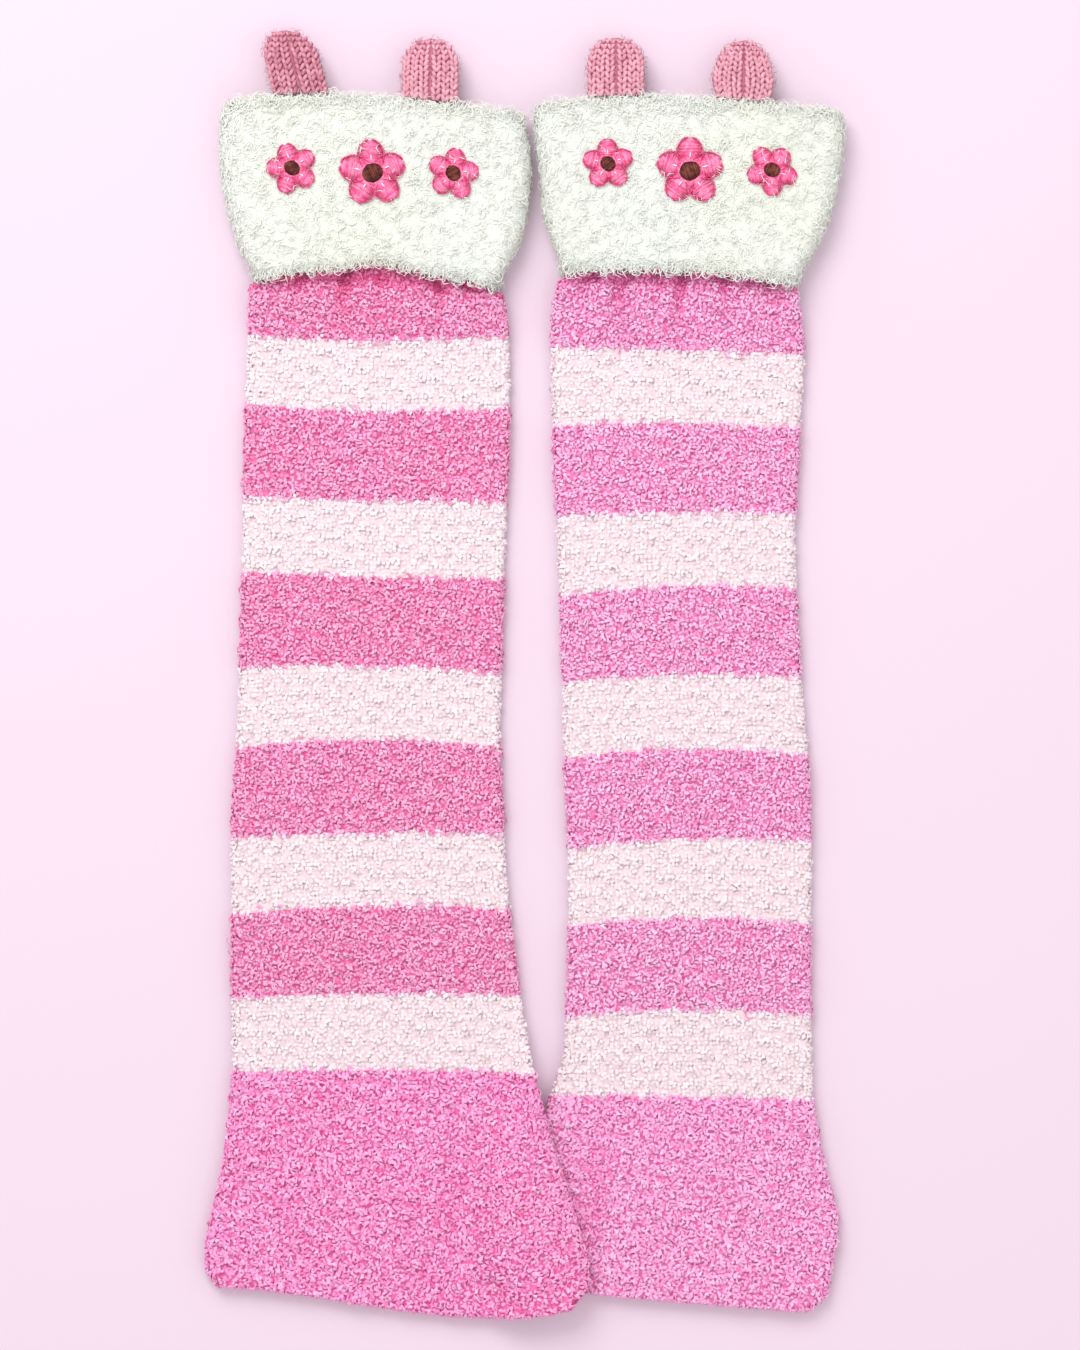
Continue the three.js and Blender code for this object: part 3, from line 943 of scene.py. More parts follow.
@dataclass(frozen=True)
class Leg:
    """The striped tube of one leg warmer: a shell of cloth with its pile."""

    tube: LegTube
    hem_yarn: Yarn
    pink_yarn: Yarn
    cloth_inset: float = 1.25
    shell_drop: float = 0.12
    ring_gap: float = 3.3
    inner_gap: float = 8.0
    steps: int = 96
    pink_pitch: float = 1.25
    wisp_pitch: float = 3.4
    pale_pitch: float = 1.55
    back_pitch: float = 3.4
    rim_pitch: float = 0.8
    rim_scale: float = 0.9
    pile_from: float = 0.8
    pile_past_neck: float = 3.0
    swirl_pitch: float = 9.0
    curl_stray: float = 1.1
    wale_slant: float = 0.6
    wale_stray: float = 0.5
    ragged: float = 0.8
    ragged_pitch: float = 3.5
    mingle: float = 0.35
    # Painted light and shade on the pile's lumps: lighter on their crests, darker in their hollows
    lump_painted_light_and_shade: float = 0.3
    wisp_shade: float = 0.25
    # Painted shade in the gathers and troughs, and just under the cuff's edge, with how far down that
    # reaches
    hollow_painted_shade: float = 0.5
    neck_painted_shade: float = 1.2
    neck_painted_shade_run: float = 4.5
    flat_size: tuple[float, float] = (0.292, 0.42)
    flat_area: float = 0.094

    @property
    def name(self) -> str:
        """The CAD node's name."""
        return f"leg_{self.tube.side.value}"

    @property
    def seed(self) -> int:
        """This leg's own random seed."""
        return 11 if self.tube.side is Side.LEFT else 47

    def shell(self) -> bpy.types.Object:
        """The cloth under the pile: outer face, soft hem, inner face and top end."""
        top = self.tube.table.top
        shell_inset = self.cloth_inset + self.shell_drop
        low = (LEG_WALL - shell_inset) / 2
        marks = np.array([low, *self.tube.stripes, top])
        counts = np.maximum(np.round(np.diff(marks) / self.ring_gap).astype(int), 1)
        rows = [np.linspace(a, b, n, endpoint=False) for a, b, n in zip(marks, marks[1:], counts)]
        outer = np.concatenate(rows)
        inner = np.arange(top, low + self.inner_gap / 2, -self.inner_gap)
        profile = np.concatenate([
            np.stack([outer, np.full_like(outer, shell_inset)], axis=1),
            [[top, shell_inset]],
            np.stack([inner, np.full_like(inner, LEG_WALL)], axis=1),
            [[low, LEG_WALL]],
            hem_round(0.0, shell_inset, LEG_WALL),
        ])
        middle = (profile[:, 0] + np.roll(profile[:, 0], -1)) / 2
        finish = np.where(middle < self.tube.stripes[0], 0, np.where(self.tube.is_pink(middle), 1, 2))
        finish_of = np.repeat(finish, self.steps * 2)
        growth = wall(self.tube, profile, self.steps)
        return mesh_piece(f"cloth_{self.name}", growth, (self.hem_yarn, self.pink_yarn, PALE), finish_of)

    def pile(
        self,
        strand: Strand,
        pitch: float,
        stripes: list[tuple[float, float]],
        face: Face,
        rng: np.random.Generator,
    ) -> Growth:
        """Curls over some stripes of one face, whose edges are ragged by about a stitch, with painted light
        and shade in their tones.

        Args:
            strand: The kind of curl.
            pitch: Distance between curls, in mm.
            stripes: Lower and upper end of each stripe, in mm.
            face: The face that they grow on.
            rng: Source of their places and sizes.

        Returns:
            The curls as one growth.
        """
        stray, brick = (0.33, 0.0) if strand is PALE_CURL else (0.45, 0.5)
        highest = self.tube.neck + self.pile_past_neck
        growths = []
        for low, high in stripes:
            reach = np.clip([low - 2 * self.ragged, high + 2 * self.ragged], self.pile_from, highest)
            around, up = self.tube.scatter(*reach, pitch, rng, stray, brick)
            facing = self.tube.facing(around, up)
            run = around * self.tube.girth(up)
            ragged = up + self.ragged * waves(run, 0 * up, self.ragged_pitch, self.seed + 5)
            keep = (facing > FRONT_FROM) == (face is Face.FRONT)
            keep &= (ragged >= low - self.mingle) & (ragged < high + self.mingle)
            frame = self.tube.frame(around[keep], up[keep], self.cloth_inset)
            x, y = frame.point[:, 0], frame.point[:, 1]
            heading = np.pi * waves(x, y, self.swirl_pitch, self.seed + 2)
            heading = heading + rng.normal(0, self.curl_stray, len(x))
            if strand is PALE_CURL:
                heading = np.pi / 2 + rng.choice([-self.wale_slant, self.wale_slant], len(x))
                heading = heading + rng.normal(0, self.wale_stray, len(x))
            # Painted light and shade on each curl: lighter on the lumps' crests and darker in their hollows,
            # darker just under the cuff's edge, and darker in the gathers and troughs
            below = np.maximum(self.tube.neck - up[keep], 0)
            tone = self.lump_painted_light_and_shade * self.tube.lump(around[keep], up[keep])
            tone = tone - self.neck_painted_shade * np.exp(-((below / self.neck_painted_shade_run) ** 2))
            tone = tone - self.hollow_painted_shade * self.tube.hollow(frame.point, up[keep]) ** 2
            growths.append(strand.grow(frame, heading, rng, 1.0, tone))
        return joined(growths)

    def hem_edge(self, rng: np.random.Generator) -> Growth:
        """Curls over the rounded rim of the hem."""
        frame = self.tube.soft_edge(0.0, -1, self.cloth_inset, LEG_WALL, self.rim_pitch, rng)
        return HEM_CURL.grow(frame, rng.uniform(0, 2 * np.pi, len(frame.point)), rng, self.rim_scale)

    def grow_pile(self, rng: np.random.Generator) -> list[bpy.types.Object]:
        """The rim, the hem band, the pink stripes in two parts, the pale ones, and the underside."""
        marks = [-LEG_HEIGHT, *self.tube.stripes, self.tube.table.top]
        stripes = list(zip(marks, marks[1:]))
        hem, pink, pale = stripes[:1], stripes[2::2], stripes[1::2]
        pieces = [dressed(mesh_piece(f"rim_{self.name}", self.hem_edge(rng), (self.hem_yarn,)))]
        for label, parts, strand, yarn in (
            ("hem", hem, HEM_CURL, self.hem_yarn),
            ("low", pink[:3], STRIPE_CURL, self.pink_yarn),
            ("high", pink[3:], STRIPE_CURL, self.pink_yarn),
        ):
            curls = self.pile(strand, self.pink_pitch, parts, Face.FRONT, rng)
            wisps = self.pile(WISP, self.wisp_pitch, parts, Face.FRONT, rng)
            wisps = wisps._replace(shade=wisps.shade - self.wisp_shade)
            piece = mesh_piece(f"pile_{label}_{self.name}", joined([curls, wisps]), (yarn,))
            pieces.append(dressed(piece))
        curls = self.pile(PALE_CURL, self.pale_pitch, pale, Face.FRONT, rng)
        pieces.append(dressed(mesh_piece(f"pile_pale_{self.name}", curls, (PALE,))))
        for label, parts, yarn, slot in (
            ("pink", hem + pink, self.hem_yarn, "pink_yarn"),
            ("pale", pale, PALE, "pale_yarn"),
        ):
            curls = self.pile(BACK_CURL, self.back_pitch, parts, Face.BACK, rng)
            pieces.append(dressed(mesh_piece(f"pile_back_{label}_{self.name}", curls, (yarn,))))
        return pieces

    def build(self) -> None:
        rng = np.random.default_rng(self.seed)
        shell = dressed(self.shell(), self.name)
        pile = self.grow_pile(rng)


@dataclass(frozen=True)
class Cuff:
    """The turned-down plush cuff: a shell of cloth, its fleece and the fluff at its edges."""

    tube: CuffTube
    leg_top: float
    cloth_inset: float = 1.3
    steps: int = 120
    outer_rings: int = 28
    fold_rings: int = 7
    slot_rings: int = 7
    inner_rings: int = 8
    fleece_pitch: float = 1.0
    fleece_above_edge: float = 0.4
    fleece_below_top: float = 1.0
    clump_pitch: float = 16.0
    lock_pitch: float = 7.0
    lock_share: float = 0.8
    hair_stray: float = 0.5
    edge_pitch: float = 1.05
    edge_stray: float = 0.8
    side_pitch: float = 1.5
    side_facing: float = 0.93
    loose_pitch: float = 2.3
    loose_facing: float = 0.9
    back_pitch: float = 2.0
    flat_size: tuple[float, float] = (0.236, 0.078)

    @property
    def name(self) -> str:
        """The CAD node's name."""
        return f"cuff_{self.tube.side.value}"

    @property
    def seed(self) -> int:
        """This cuff's own random seed."""
        return 101 if self.tube.side is Side.LEFT else 149

    def shell(self) -> bpy.types.Object:
        """The cloth under the fluff: outer face, fold, the slot above the leg and the inner face."""
        bottom, top = self.tube.table.bottom, self.tube.table.top
        edge = (CUFF_WALL - self.cloth_inset) / 2
        fold = (FOLD_WALL - self.cloth_inset) / 2
        step_up = self.leg_top + SEAM_GAP
        outer = np.linspace(bottom + edge, top - fold, self.outer_rings, endpoint=False)
        slot = np.linspace(top - fold, step_up, self.slot_rings)
        inner = np.linspace(step_up, bottom + edge, self.inner_rings)
        angle = np.pi * np.arange(1, self.fold_rings) / self.fold_rings
        fold_up = top - self.cloth_inset / 2 - fold * (1 - np.sin(angle))
        profile = np.concatenate([
            np.stack([outer, np.full_like(outer, self.cloth_inset)], axis=1),
            np.stack([fold_up, self.cloth_inset + fold * (1 - np.cos(angle))], axis=1),
            np.stack([slot, np.full_like(slot, FOLD_WALL)], axis=1),
            np.stack([inner, np.full_like(inner, CUFF_WALL)], axis=1),
            hem_round(bottom, self.cloth_inset, CUFF_WALL),
        ])
        return mesh_piece(f"cloth_{self.name}", wall(self.tube, profile, self.steps), (PLUSH,))

    def combed(self, frame: Frame, rng: np.random.Generator) -> Array:
        """Directions of the fleece: they turn slowly from clump to clump, each a little astray."""
        x, y = frame.point[:, 0], frame.point[:, 1]
        slow = waves(x, y, self.clump_pitch, self.seed + 3)
        slow = slow + self.lock_share * waves(x, y, self.lock_pitch, self.seed + 4)
        return np.pi * slow + rng.normal(0, self.hair_stray, len(x))

    def fleece(self, strand: Strand, pitch: float, face: Face, rng: np.random.Generator) -> Growth:
        """The fleece of one face, parted where the embroidery is."""
        low = self.tube.table.bottom + self.fleece_above_edge
        high = self.tube.table.top - self.fleece_below_top
        around, up = self.tube.scatter(low, high, pitch, rng)
        facing = self.tube.facing(around, up)
        keep = (facing > FRONT_FROM) == (face is Face.FRONT)
        frame = self.beside_flowers(self.tube.frame(around[keep], up[keep], self.cloth_inset))
        return strand.grow(frame, self.combed(frame, rng), rng)

    def beside_flowers(self, frame: Frame) -> Frame:
        """The frame without its places under the embroidery."""
        clear = np.ones(len(frame.point), dtype=bool)
        for flower in self.tube.flowers:
            clear &= ~flower.covers(self.tube, frame.point)
        return frame.pick(clear | (frame.out[:, 2] < 0))

    def edge_fluff(self, rng: np.random.Generator) -> Growth:
        """Hairs that hang over the free edge and stand along the top fold and the sides."""
        bottom, top = self.tube.table.bottom, self.tube.table.top
        growths = []
        # Bands of hairs, each row: lower end, upper end, pitch, heading, size
        for low, high, pitch, heading, size in (
            (bottom + 0.2, bottom + 3.5, 0.85, -np.pi / 2, 1.0),
            (top - 6.0, top - 2.5, 1.05, np.pi / 2, 1.0),
            (top - 2.5, top, 1.05, np.pi / 2, 0.6),
        ):
            around, up = self.tube.scatter(low, high, pitch, rng)
            frame = self.tube.frame(around, up, self.cloth_inset)
            heading = heading + rng.normal(0, self.edge_stray, len(up))
            growths.append(FLUFF.grow(frame, heading, rng, size))
        crest = top - self.cloth_inset / 2
        for frame in (
            self.tube.soft_edge(bottom, -1, self.cloth_inset, CUFF_WALL, self.edge_pitch, rng),
            self.tube.soft_edge(crest, 1, self.cloth_inset, FOLD_WALL, self.edge_pitch, rng),
        ):
            heading = rng.uniform(0, 2 * np.pi, len(frame.point))
            # About a third of the places grow fleece, a third fluff, and the rest both
            low, tall = heading > 2, heading < 4
            growths.append(FLEECE.grow(frame.pick(low), heading[low], rng, 0.9))
            growths.append(FLUFF.grow(frame.pick(tall), heading[tall], rng, 0.75))
        low, high = bottom + 3, top - 2
        around, up = self.tube.scatter(low, high, self.side_pitch, rng)
        side = np.abs(self.tube.facing(around, up)) < self.side_facing
        frame = self.tube.frame(around[side], up[side], self.cloth_inset)
        growths.append(FLUFF.grow(frame, rng.uniform(0, 2 * np.pi, len(frame.point)), rng, 0.6))
        around, up = self.tube.scatter(low, high, self.loose_pitch, rng)
        front = self.tube.facing(around, up) > self.loose_facing
        frame = self.beside_flowers(self.tube.frame(around, up, self.cloth_inset).pick(front))
        growths.append(FLUFF.grow(frame, self.combed(frame, rng), rng))
        return joined(growths)

    def build(self) -> None:
        rng = np.random.default_rng(self.seed)
        shell = dressed(self.shell(), self.name)
        pieces = [
            dressed(mesh_piece(f"{label}_{self.name}", growth, (PLUSH,)))
            for label, growth in (
                ("fleece_front", self.fleece(FLEECE, self.fleece_pitch, Face.FRONT, rng)),
                ("fleece_back", self.fleece(BACK_CURL, self.back_pitch, Face.BACK, rng)),
                ("fluff", self.edge_fluff(rng)),
            )
        ]
        for index, flower in enumerate(self.tube.flowers):
            pieces += flower.build(f"{self.name}_{index + 1}", self, rng)


@dataclass(frozen=True)
class Flower:
    """A five-petal flower embroidered in satin stitch on the front of a cuff."""

    x: float
    up: float
    radius: float
    turn: float
    petals: int = 5
    thread_pitch: float = 0.3
    heart: float = 0.26
    heart_overlap: float = 0.06
    heart_turn: float = 20.0
    petal_end: float = 0.985
    rim_points: int = 12
    rim_spread: float = 0.5
    rim_shade: float = 0.7
    ray_at: float = 0.48
    petal_lift: float = 0.6
    rim_lift: float = 0.85
    heart_lift: float = 1.0
    ray_lift: float = 1.2
    usual_radius: float = 12.0
    cover: float = 0.8
    cover_swing: float = 0.14
    satin: Strand = Strand((1.0, 1.0), (0.5, 0.6), (0.4, 0.5), bend=0.02, bury=0.1, rings=4, corners=4)
    ray: Strand = Strand((2.2, 2.6), (0.5, 0.6), (0.4, 0.5), bend=0.05, bury=0.0, corners=4)
    rim_stitch: Strand = Strand((1.8, 2.4), (0.6, 0.75), (0.3, 0.45), bend=0.05, bury=0.1, corners=4)

    def covers(self, tube: CuffTube, points: Array) -> Array:
        """Whether points lie under the flower's petals, seen from above."""
        centre = tube.place(tube.around_at(self.x, self.up), self.up)
        dx, dy = points[:, 0] - centre[0], points[:, 1] - centre[1]
        reach = np.hypot(dx, dy)
        swing = np.cos(self.petals * (np.arctan2(dy, dx) - np.radians(self.turn)))
        return reach < self.radius * (self.cover + self.cover_swing * swing)

    def rooted(self, tube: CuffTube, inset: float, dx: Array, dy: Array) -> Frame:
        """The cloth's frame at places given from the flower's middle."""
        up = self.up + dy
        return tube.frame(tube.around_at(self.x + dx, up), up, inset)

    def threads(
        self,
        cuff: Cuff,
        dx: Array,
        dy: Array,
        heading: Array,
        length: Array,
        lift: float,
        rng: np.random.Generator,
    ) -> Growth:
        """Satin threads of given lengths, laid on the cloth at the given places."""
        frame = self.rooted(cuff.tube, cuff.cloth_inset - lift, dx, dy)
        growth = self.satin.grow(frame, heading, rng)
        points = growth.points.reshape(len(dx), -1, 3)
        forward = np.cos(heading)[:, None] * frame.right + np.sin(heading)[:, None] * frame.up
        shift = np.einsum("nvc,nc->nv", points - frame.point[:, None], forward)
        points += (shift * (length[:, None] - 1))[..., None] * forward[:, None]
        return growth._replace(points=points.reshape(-1, 3))

    def half_width(self, t: Array) -> Array:
        """Half a petal's width from the heart, t = 0, to the tip, t = 1: a sine bulge."""
        return 0.4 * self.radius * np.sin(np.pi * (0.1 + 0.87 * t**1.45)) ** 0.55

    def petal_growth(self, cuff: Cuff, rng: np.random.Generator) -> Growth:
        """Threads across each petal, and a darker line of small stitches round it."""
        growths = []
        t = np.arange(self.heart, self.petal_end, self.thread_pitch / self.radius)
        wide = self.half_width(t)
        bend = np.sin(np.linspace(0, np.pi / 2, self.rim_points))
        rim_t = self.heart + (1 - self.heart) * np.concatenate([bend, bend[-2::-1]])
        side = np.concatenate([np.ones(self.rim_points), -np.ones(self.rim_points - 1)])
        rim_x, rim_y = self.radius * rim_t, side * self.half_width(rim_t)
        rim_heading = np.arctan2(np.gradient(rim_y), np.gradient(rim_x))
        for petal in range(self.petals):
            angle = np.radians(self.turn) + 2 * np.pi * petal / self.petals
            cosine, sine = np.cos(angle), np.sin(angle)
            heading = angle + np.pi / 2 + rng.normal(0, 0.05, len(t))
            length = 2 * wide * rng.uniform(0.94, 1.05, len(t))
            reach = self.radius * t
            dx, dy = reach * cosine, reach * sine
            growths.append(self.threads(cuff, dx, dy, heading, length, self.petal_lift, rng))
            dx, dy = rim_x * cosine - rim_y * sine, rim_x * sine + rim_y * cosine
            rim = self.rooted(cuff.tube, cuff.cloth_inset - self.rim_lift, dx, dy)
            stitches = self.rim_stitch.grow(rim, rim_heading + angle, rng, self.radius / self.usual_radius)
            shade = stitches.shade * self.rim_spread - self.rim_shade
            growths.append(stitches._replace(shade=shade))
        return joined(growths)

    def heart_growth(self, cuff: Cuff, rng: np.random.Generator) -> Growth:
        """Threads side by side across the round heart."""
        radius = self.radius * (self.heart + self.heart_overlap)
        offset = np.arange(-radius, radius, self.thread_pitch)
        chord = 2 * np.sqrt(np.maximum(radius**2 - offset**2, 0.1))
        heading = np.full(len(offset), np.radians(self.turn + self.heart_turn))
        dx, dy = -np.sin(heading) * offset, np.cos(heading) * offset
        return self.threads(cuff, dx, dy, heading, chord, self.heart_lift, rng)

    def build(self, label: str, cuff: Cuff, rng: np.random.Generator) -> list[bpy.types.Object]:
        """Builds the petals, the heart and a white ray on each petal."""
        petals = mesh_piece(f"petals_{label}", self.petal_growth(cuff, rng), (THREAD_PINK,))
        heart = mesh_piece(f"heart_{label}", self.heart_growth(cuff, rng), (THREAD_BROWN,))
        angle = np.radians(self.turn) + 2 * np.pi * np.arange(self.petals) / self.petals
        reach = self.radius * self.ray_at
        dx, dy = reach * np.cos(angle), reach * np.sin(angle)
        frame = self.rooted(cuff.tube, cuff.cloth_inset - self.ray_lift, dx, dy)
        rays = self.ray.grow(frame, angle, rng, self.radius / self.usual_radius)
        return [
            dressed(petals),
            dressed(heart),
            dressed(mesh_piece(f"rays_{label}", rays, (THREAD_WHITE,))),
        ]


@dataclass(frozen=True)
class Ear:
    """A small flattened ear in stocking stitch, whose foot follows the fold of the cuff."""

    size: EarSize
    cuff: CuffTube
    thickness: float = 5.6
    round_from: float = 0.52
    droop: float = 6.2
    squareness: float = 0.8
    cloth_inset: float = 0.75
    wales: int = 6
    row_pitch: float = 2.3
    stitched: float = 0.97
    half_apart: float = 0.24
    slant: float = 0.42
    core_steps: int = 40
    core_rings: int = 22
    core_rise: float = 0.1
    fuzz_count: int = 300
    fuzz_lift: float = 0.6
    dimple: float = 0.0
    # How much darker all of this ear's stitches are
    darkening: float = 0.0

    @property
    def seed(self) -> int:
        """This ear's own random seed."""
        return 200 + int(10 * abs(self.size.x) + 3 * self.size.length)

    def crest(self, x: Array) -> Array:
        """Where the cuff's fold lies on the floor plan, x mm from the leg's axis."""
        section = self.cuff.table.read(np.full(np.shape(x), self.cuff.table.top))
        s = (x - section.middle) / section.half
        line = section.tilt / 2 * s - section.bow * s**2 + section.swing * (s**3 - s)
        return self.cuff.hem + self.cuff.table.top + line

    def place(self, angle: Array, t: Array, inset: float = 0.0) -> Array:
        """Places points of the ear: rounded ovals stacked from the seam, t = 0, to the tip, t = 1.

        Args:
            angle: Place round the oval, in radians from its right end, over the front.
            t: Place from the seam to the tip.
            inset: How far inside the outer surface, in mm.

        Returns:
            Points in mm.
        """
        size = self.size
        rounding = np.maximum(t - self.round_from, 0) / (1 - self.round_from)
        girth = np.sqrt(np.maximum(1 - rounding**2, 0))
        half = (size.width / 2 + size.belly * np.sin(np.pi * np.minimum(t * 1.6, 1))) * girth
        thick = self.thickness / 2 * np.sqrt(girth)
        c, s = np.cos(angle), np.sin(angle)
        x = np.maximum(half - inset, 0) * np.sign(c) * np.abs(c) ** self.squareness
        z = np.maximum(thick - inset, 0) * np.sign(s) * np.abs(s) ** self.squareness
        foot = self.crest(np.array(size.x))
        bend = self.crest(size.x + x) - foot
        pucker = self.dimple * np.exp(-((x / 4 + 0.4) ** 2) - ((t - 0.72) / 0.1) ** 2) * (s > 0)
        seam = CUFF_HEIGHT - FOLD_WALL / 2
        length = size.length - inset
        return np.stack([
            self.cuff.axis + size.x + x + size.lean * t,
            foot + SEAM_GAP + length * t + bend * (1 - t) ** 2,
            seam - self.droop * t * t + z - pucker,
        ], axis=-1)

    def frame(self, angle: Array, t: Array) -> Frame:
        """The points and directions on the ear's cloth, from small steps along it."""
        step = 0.01
        point = self.place(angle, t, self.cloth_inset)
        right = self.place(angle - step, t, self.cloth_inset) - self.place(angle + step, t, self.cloth_inset)
        above = self.place(angle, np.minimum(t + step, 0.995), self.cloth_inset)
        rise = above - self.place(angle, t - step, self.cloth_inset)
        out = unit(np.cross(right, rise))
        right = unit(right)
        return Frame(point, right, np.cross(out, right), out)

    def core(self) -> bpy.types.Object:
        """The ear's cloth under the stitches, a closed form with a rounded tip."""
        steps, rings = self.core_steps, self.core_rings
        t = (1 - (1 - np.linspace(0, 1, rings)) ** 1.6)[:-1, None]
        angle = (2 * np.pi * np.arange(steps) / steps)[None, :]
        body = self.place(angle, t, self.cloth_inset).reshape(-1, 3)
        tip = self.place(np.array([0.0]), np.array([1.0]), self.cloth_inset)
        foot = body[:steps].mean(axis=0, keepdims=True)
        here = np.arange((rings - 1) * steps).reshape(rings - 1, steps)
        after = np.roll(here, -1, axis=1)
        band = np.stack([here[:-1], here[1:], after[:-1], after[:-1], here[1:], after[1:]], axis=-1)
        last = here[-1].max() + 1
        cap = np.stack([here[-1], np.full(steps, last), after[-1]], axis=-1)
        sole = np.stack([here[0], after[0], np.full(steps, last + 1)], axis=-1)
        points = np.concatenate([body, tip, foot])
        faces = np.concatenate([band.reshape(-1, 3), cap, sole])
        shade, rise = np.full(len(points), SHELL_SHADE), np.full(len(points), self.core_rise)
        growth = Growth(points, faces, shade, rise)
        return mesh_piece(f"cloth_{self.size.name}", growth, (EAR,))

    def stitches(self, rng: np.random.Generator) -> Growth:
        """Columns of V-shaped stitches on both faces: each V is two short slanting yarns."""
        rows = round(self.size.length / self.row_pitch)
        growths = []
        for face in (1, -1):
            for half in (-1, 1):
                wale, row = np.meshgrid(np.arange(self.wales), np.arange(rows))
                wale, row = wale.ravel(), row.ravel()
                t = (row + 0.5) / rows * self.stitched
                across = (wale + 0.5 + self.half_apart * half) / self.wales * 2 - 1
                angle = face * np.arccos(across * self.stitched)
                frame = self.frame(angle, t)
                slant = np.pi / 2 - half * face * self.slant
                # Stitches are smaller towards the tip, where the wales crowd
                crowd = np.clip(1.1 - 0.45 * np.maximum(t - 0.6, 0) / 0.4, 0.6, 1)
                heading = slant + rng.normal(0, 0.05, len(t))
                growths.append(KNIT_YARN.grow(frame, heading, rng, scale=crowd))
        growth = joined(growths)
        return growth._replace(shade=growth.shade - self.darkening)

    def fuzz(self, rng: np.random.Generator) -> Growth:
        """Fine fibres that stand off the stitches."""
        count = self.fuzz_count
        frame = self.frame(rng.uniform(0, 2 * np.pi, count), rng.uniform(0.02, 0.98, count))
        frame = frame._replace(point=frame.point + self.fuzz_lift * frame.out)
        return KNIT_FUZZ.grow(frame, rng.uniform(0, 2 * np.pi, count), rng)

    def build(self) -> None:
        rng = np.random.default_rng(self.seed)
        core = dressed(self.core(), self.size.name)
        dressed(mesh_piece(f"stitches_{self.size.name}", self.stitches(rng), (EAR,)))
        dressed(mesh_piece(f"fuzz_{self.size.name}", self.fuzz(rng), (EAR,)))


# Sections of the cloth in mm, each row: up, left, right, tilt, bow, swing
LEFT_LEG_ROWS: Rows = (
    (0, 60, 77, -7, -5, 6.5),
    (3.5, 63.2, 81.5, -5.5, -7, 6),
    (10, 64, 83, -3, -8, 5),
    (26, 62.2, 79, -1, -6.5, 3),
    (45, 58.6, 74, 0, -4, 1),
    (66, 55.8, 68, -1, -1.5, 0),
    (90.5, 54, 62.5, -0.5, 1, 0),
    (120, 54.2, 57, 1.5, 1, 0),
    (153, 54.2, 53, 2, 2.5, 0),
    (181, 54.4, 50.8, 1.5, 1, 0),
    (216, 52.5, 49.3, 0.5, 3, 0),
    (244.5, 51.2, 49.8, -2, 1.5, 0),
    (278, 50.2, 50.8, -2.5, -1, 0),
    (307.5, 49.8, 51.8, -2, -0.5, 0),
    (341, 49, 53, -1.5, -2, 0),
    (368, 48, 52.6, -0.5, -2.5, 0),
    (382, 47.4, 51, -2, 0.3, 0),
    (391, 46.3, 49.6, -3.4, 4.5, 0),
    (394, 41.3, 44.8, -3.5, 5, 0),
    (406, 45, 48.5, -3.5, 4, 0),
    (420, 49.5, 53.5, -4, 2.5, 0),
)
RIGHT_LEG_ROWS: Rows = (
    (0, 54.5, 48.5, -9, -0.5, 0),
    (4, 60, 54.5, -10, -2.5, 0),
    (12, 61.5, 57, -7.5, -4, 0),
    (27, 61, 59.3, -4, -4, 0),
    (43, 59, 55.7, -1, -2.5, 0),
    (60.5, 55.5, 52, -1, -2, 0),
    (77.5, 51.5, 50, -1.5, 0.5, 0),
    (93.5, 46.5, 49.5, -1.5, 1.5, 0),
    (111, 45.5, 49, 0.5, 3, 0),
    (145.5, 44.5, 49, 0.5, 3.5, 0),
    (176, 44.7, 49.3, 2.5, 3, 0),
    (209.5, 46.2, 48, 1, 3, 0),
    (238, 46.8, 45.4, 2, 1.5, 0),
    (271.5, 47.8, 43.5, 3, 2.5, 0),
    (300, 49.2, 43.2, 0.5, 1, 0),
    (333.5, 50.6, 45, -1, 2, 0),
    (361.5, 51.2, 46.3, -2.5, 0, 0),
    (378, 50, 44.6, -2.5, 0, 0),
    (387.5, 47.8, 42.9, -3, 1.4, 0),
    (390.5, 43.1, 39.4, -3, 1.5, 0),
    (402, 46, 42, -3.5, 2, 0),
    (415, 49.5, 49, -3, 1.5, 0),
)
LEFT_CUFF_ROWS: Rows = (
    (395, 45, 48.5, -3.5, 5.5, 0),
    (400, 48, 51, -3.5, 5, 0),
    (408, 52.5, 56.2, -4, 4, 0),
    (419.5, 56.1, 59.6, -4, 2.5, 0),
    (433, 58.6, 61, -4, 1.5, 0),
    (445, 58.7, 60.6, -4, 2.5, 0),
    (454, 57.8, 59, -4, 3.5, 1),
    (458.8, 54.8, 56.5, -4.5, 4, 1.5),
    (460.3, 52.5, 54.5, -4, 4, 1.5),
)
RIGHT_CUFF_ROWS: Rows = (
    (391.5, 46.5, 43.5, -4, 2.5, 0),
    (396.5, 48.5, 46.5, -4, 2.5, 0),
    (404, 51.5, 51.5, -3.5, 2, 0),
    (414.5, 54.5, 56.3, -3, 1.5, 0),
    (428, 55.5, 59.5, -2.5, 1.5, 0),
    (440, 57, 61.2, -2.5, 2.5, 0),
    (450, 57.5, 61.7, -2.5, 3.5, 1),
    (455.4, 56.5, 59.5, -2, 4, 1.5),
    (456.9, 54, 56.5, -2, 4, 1.5),
)


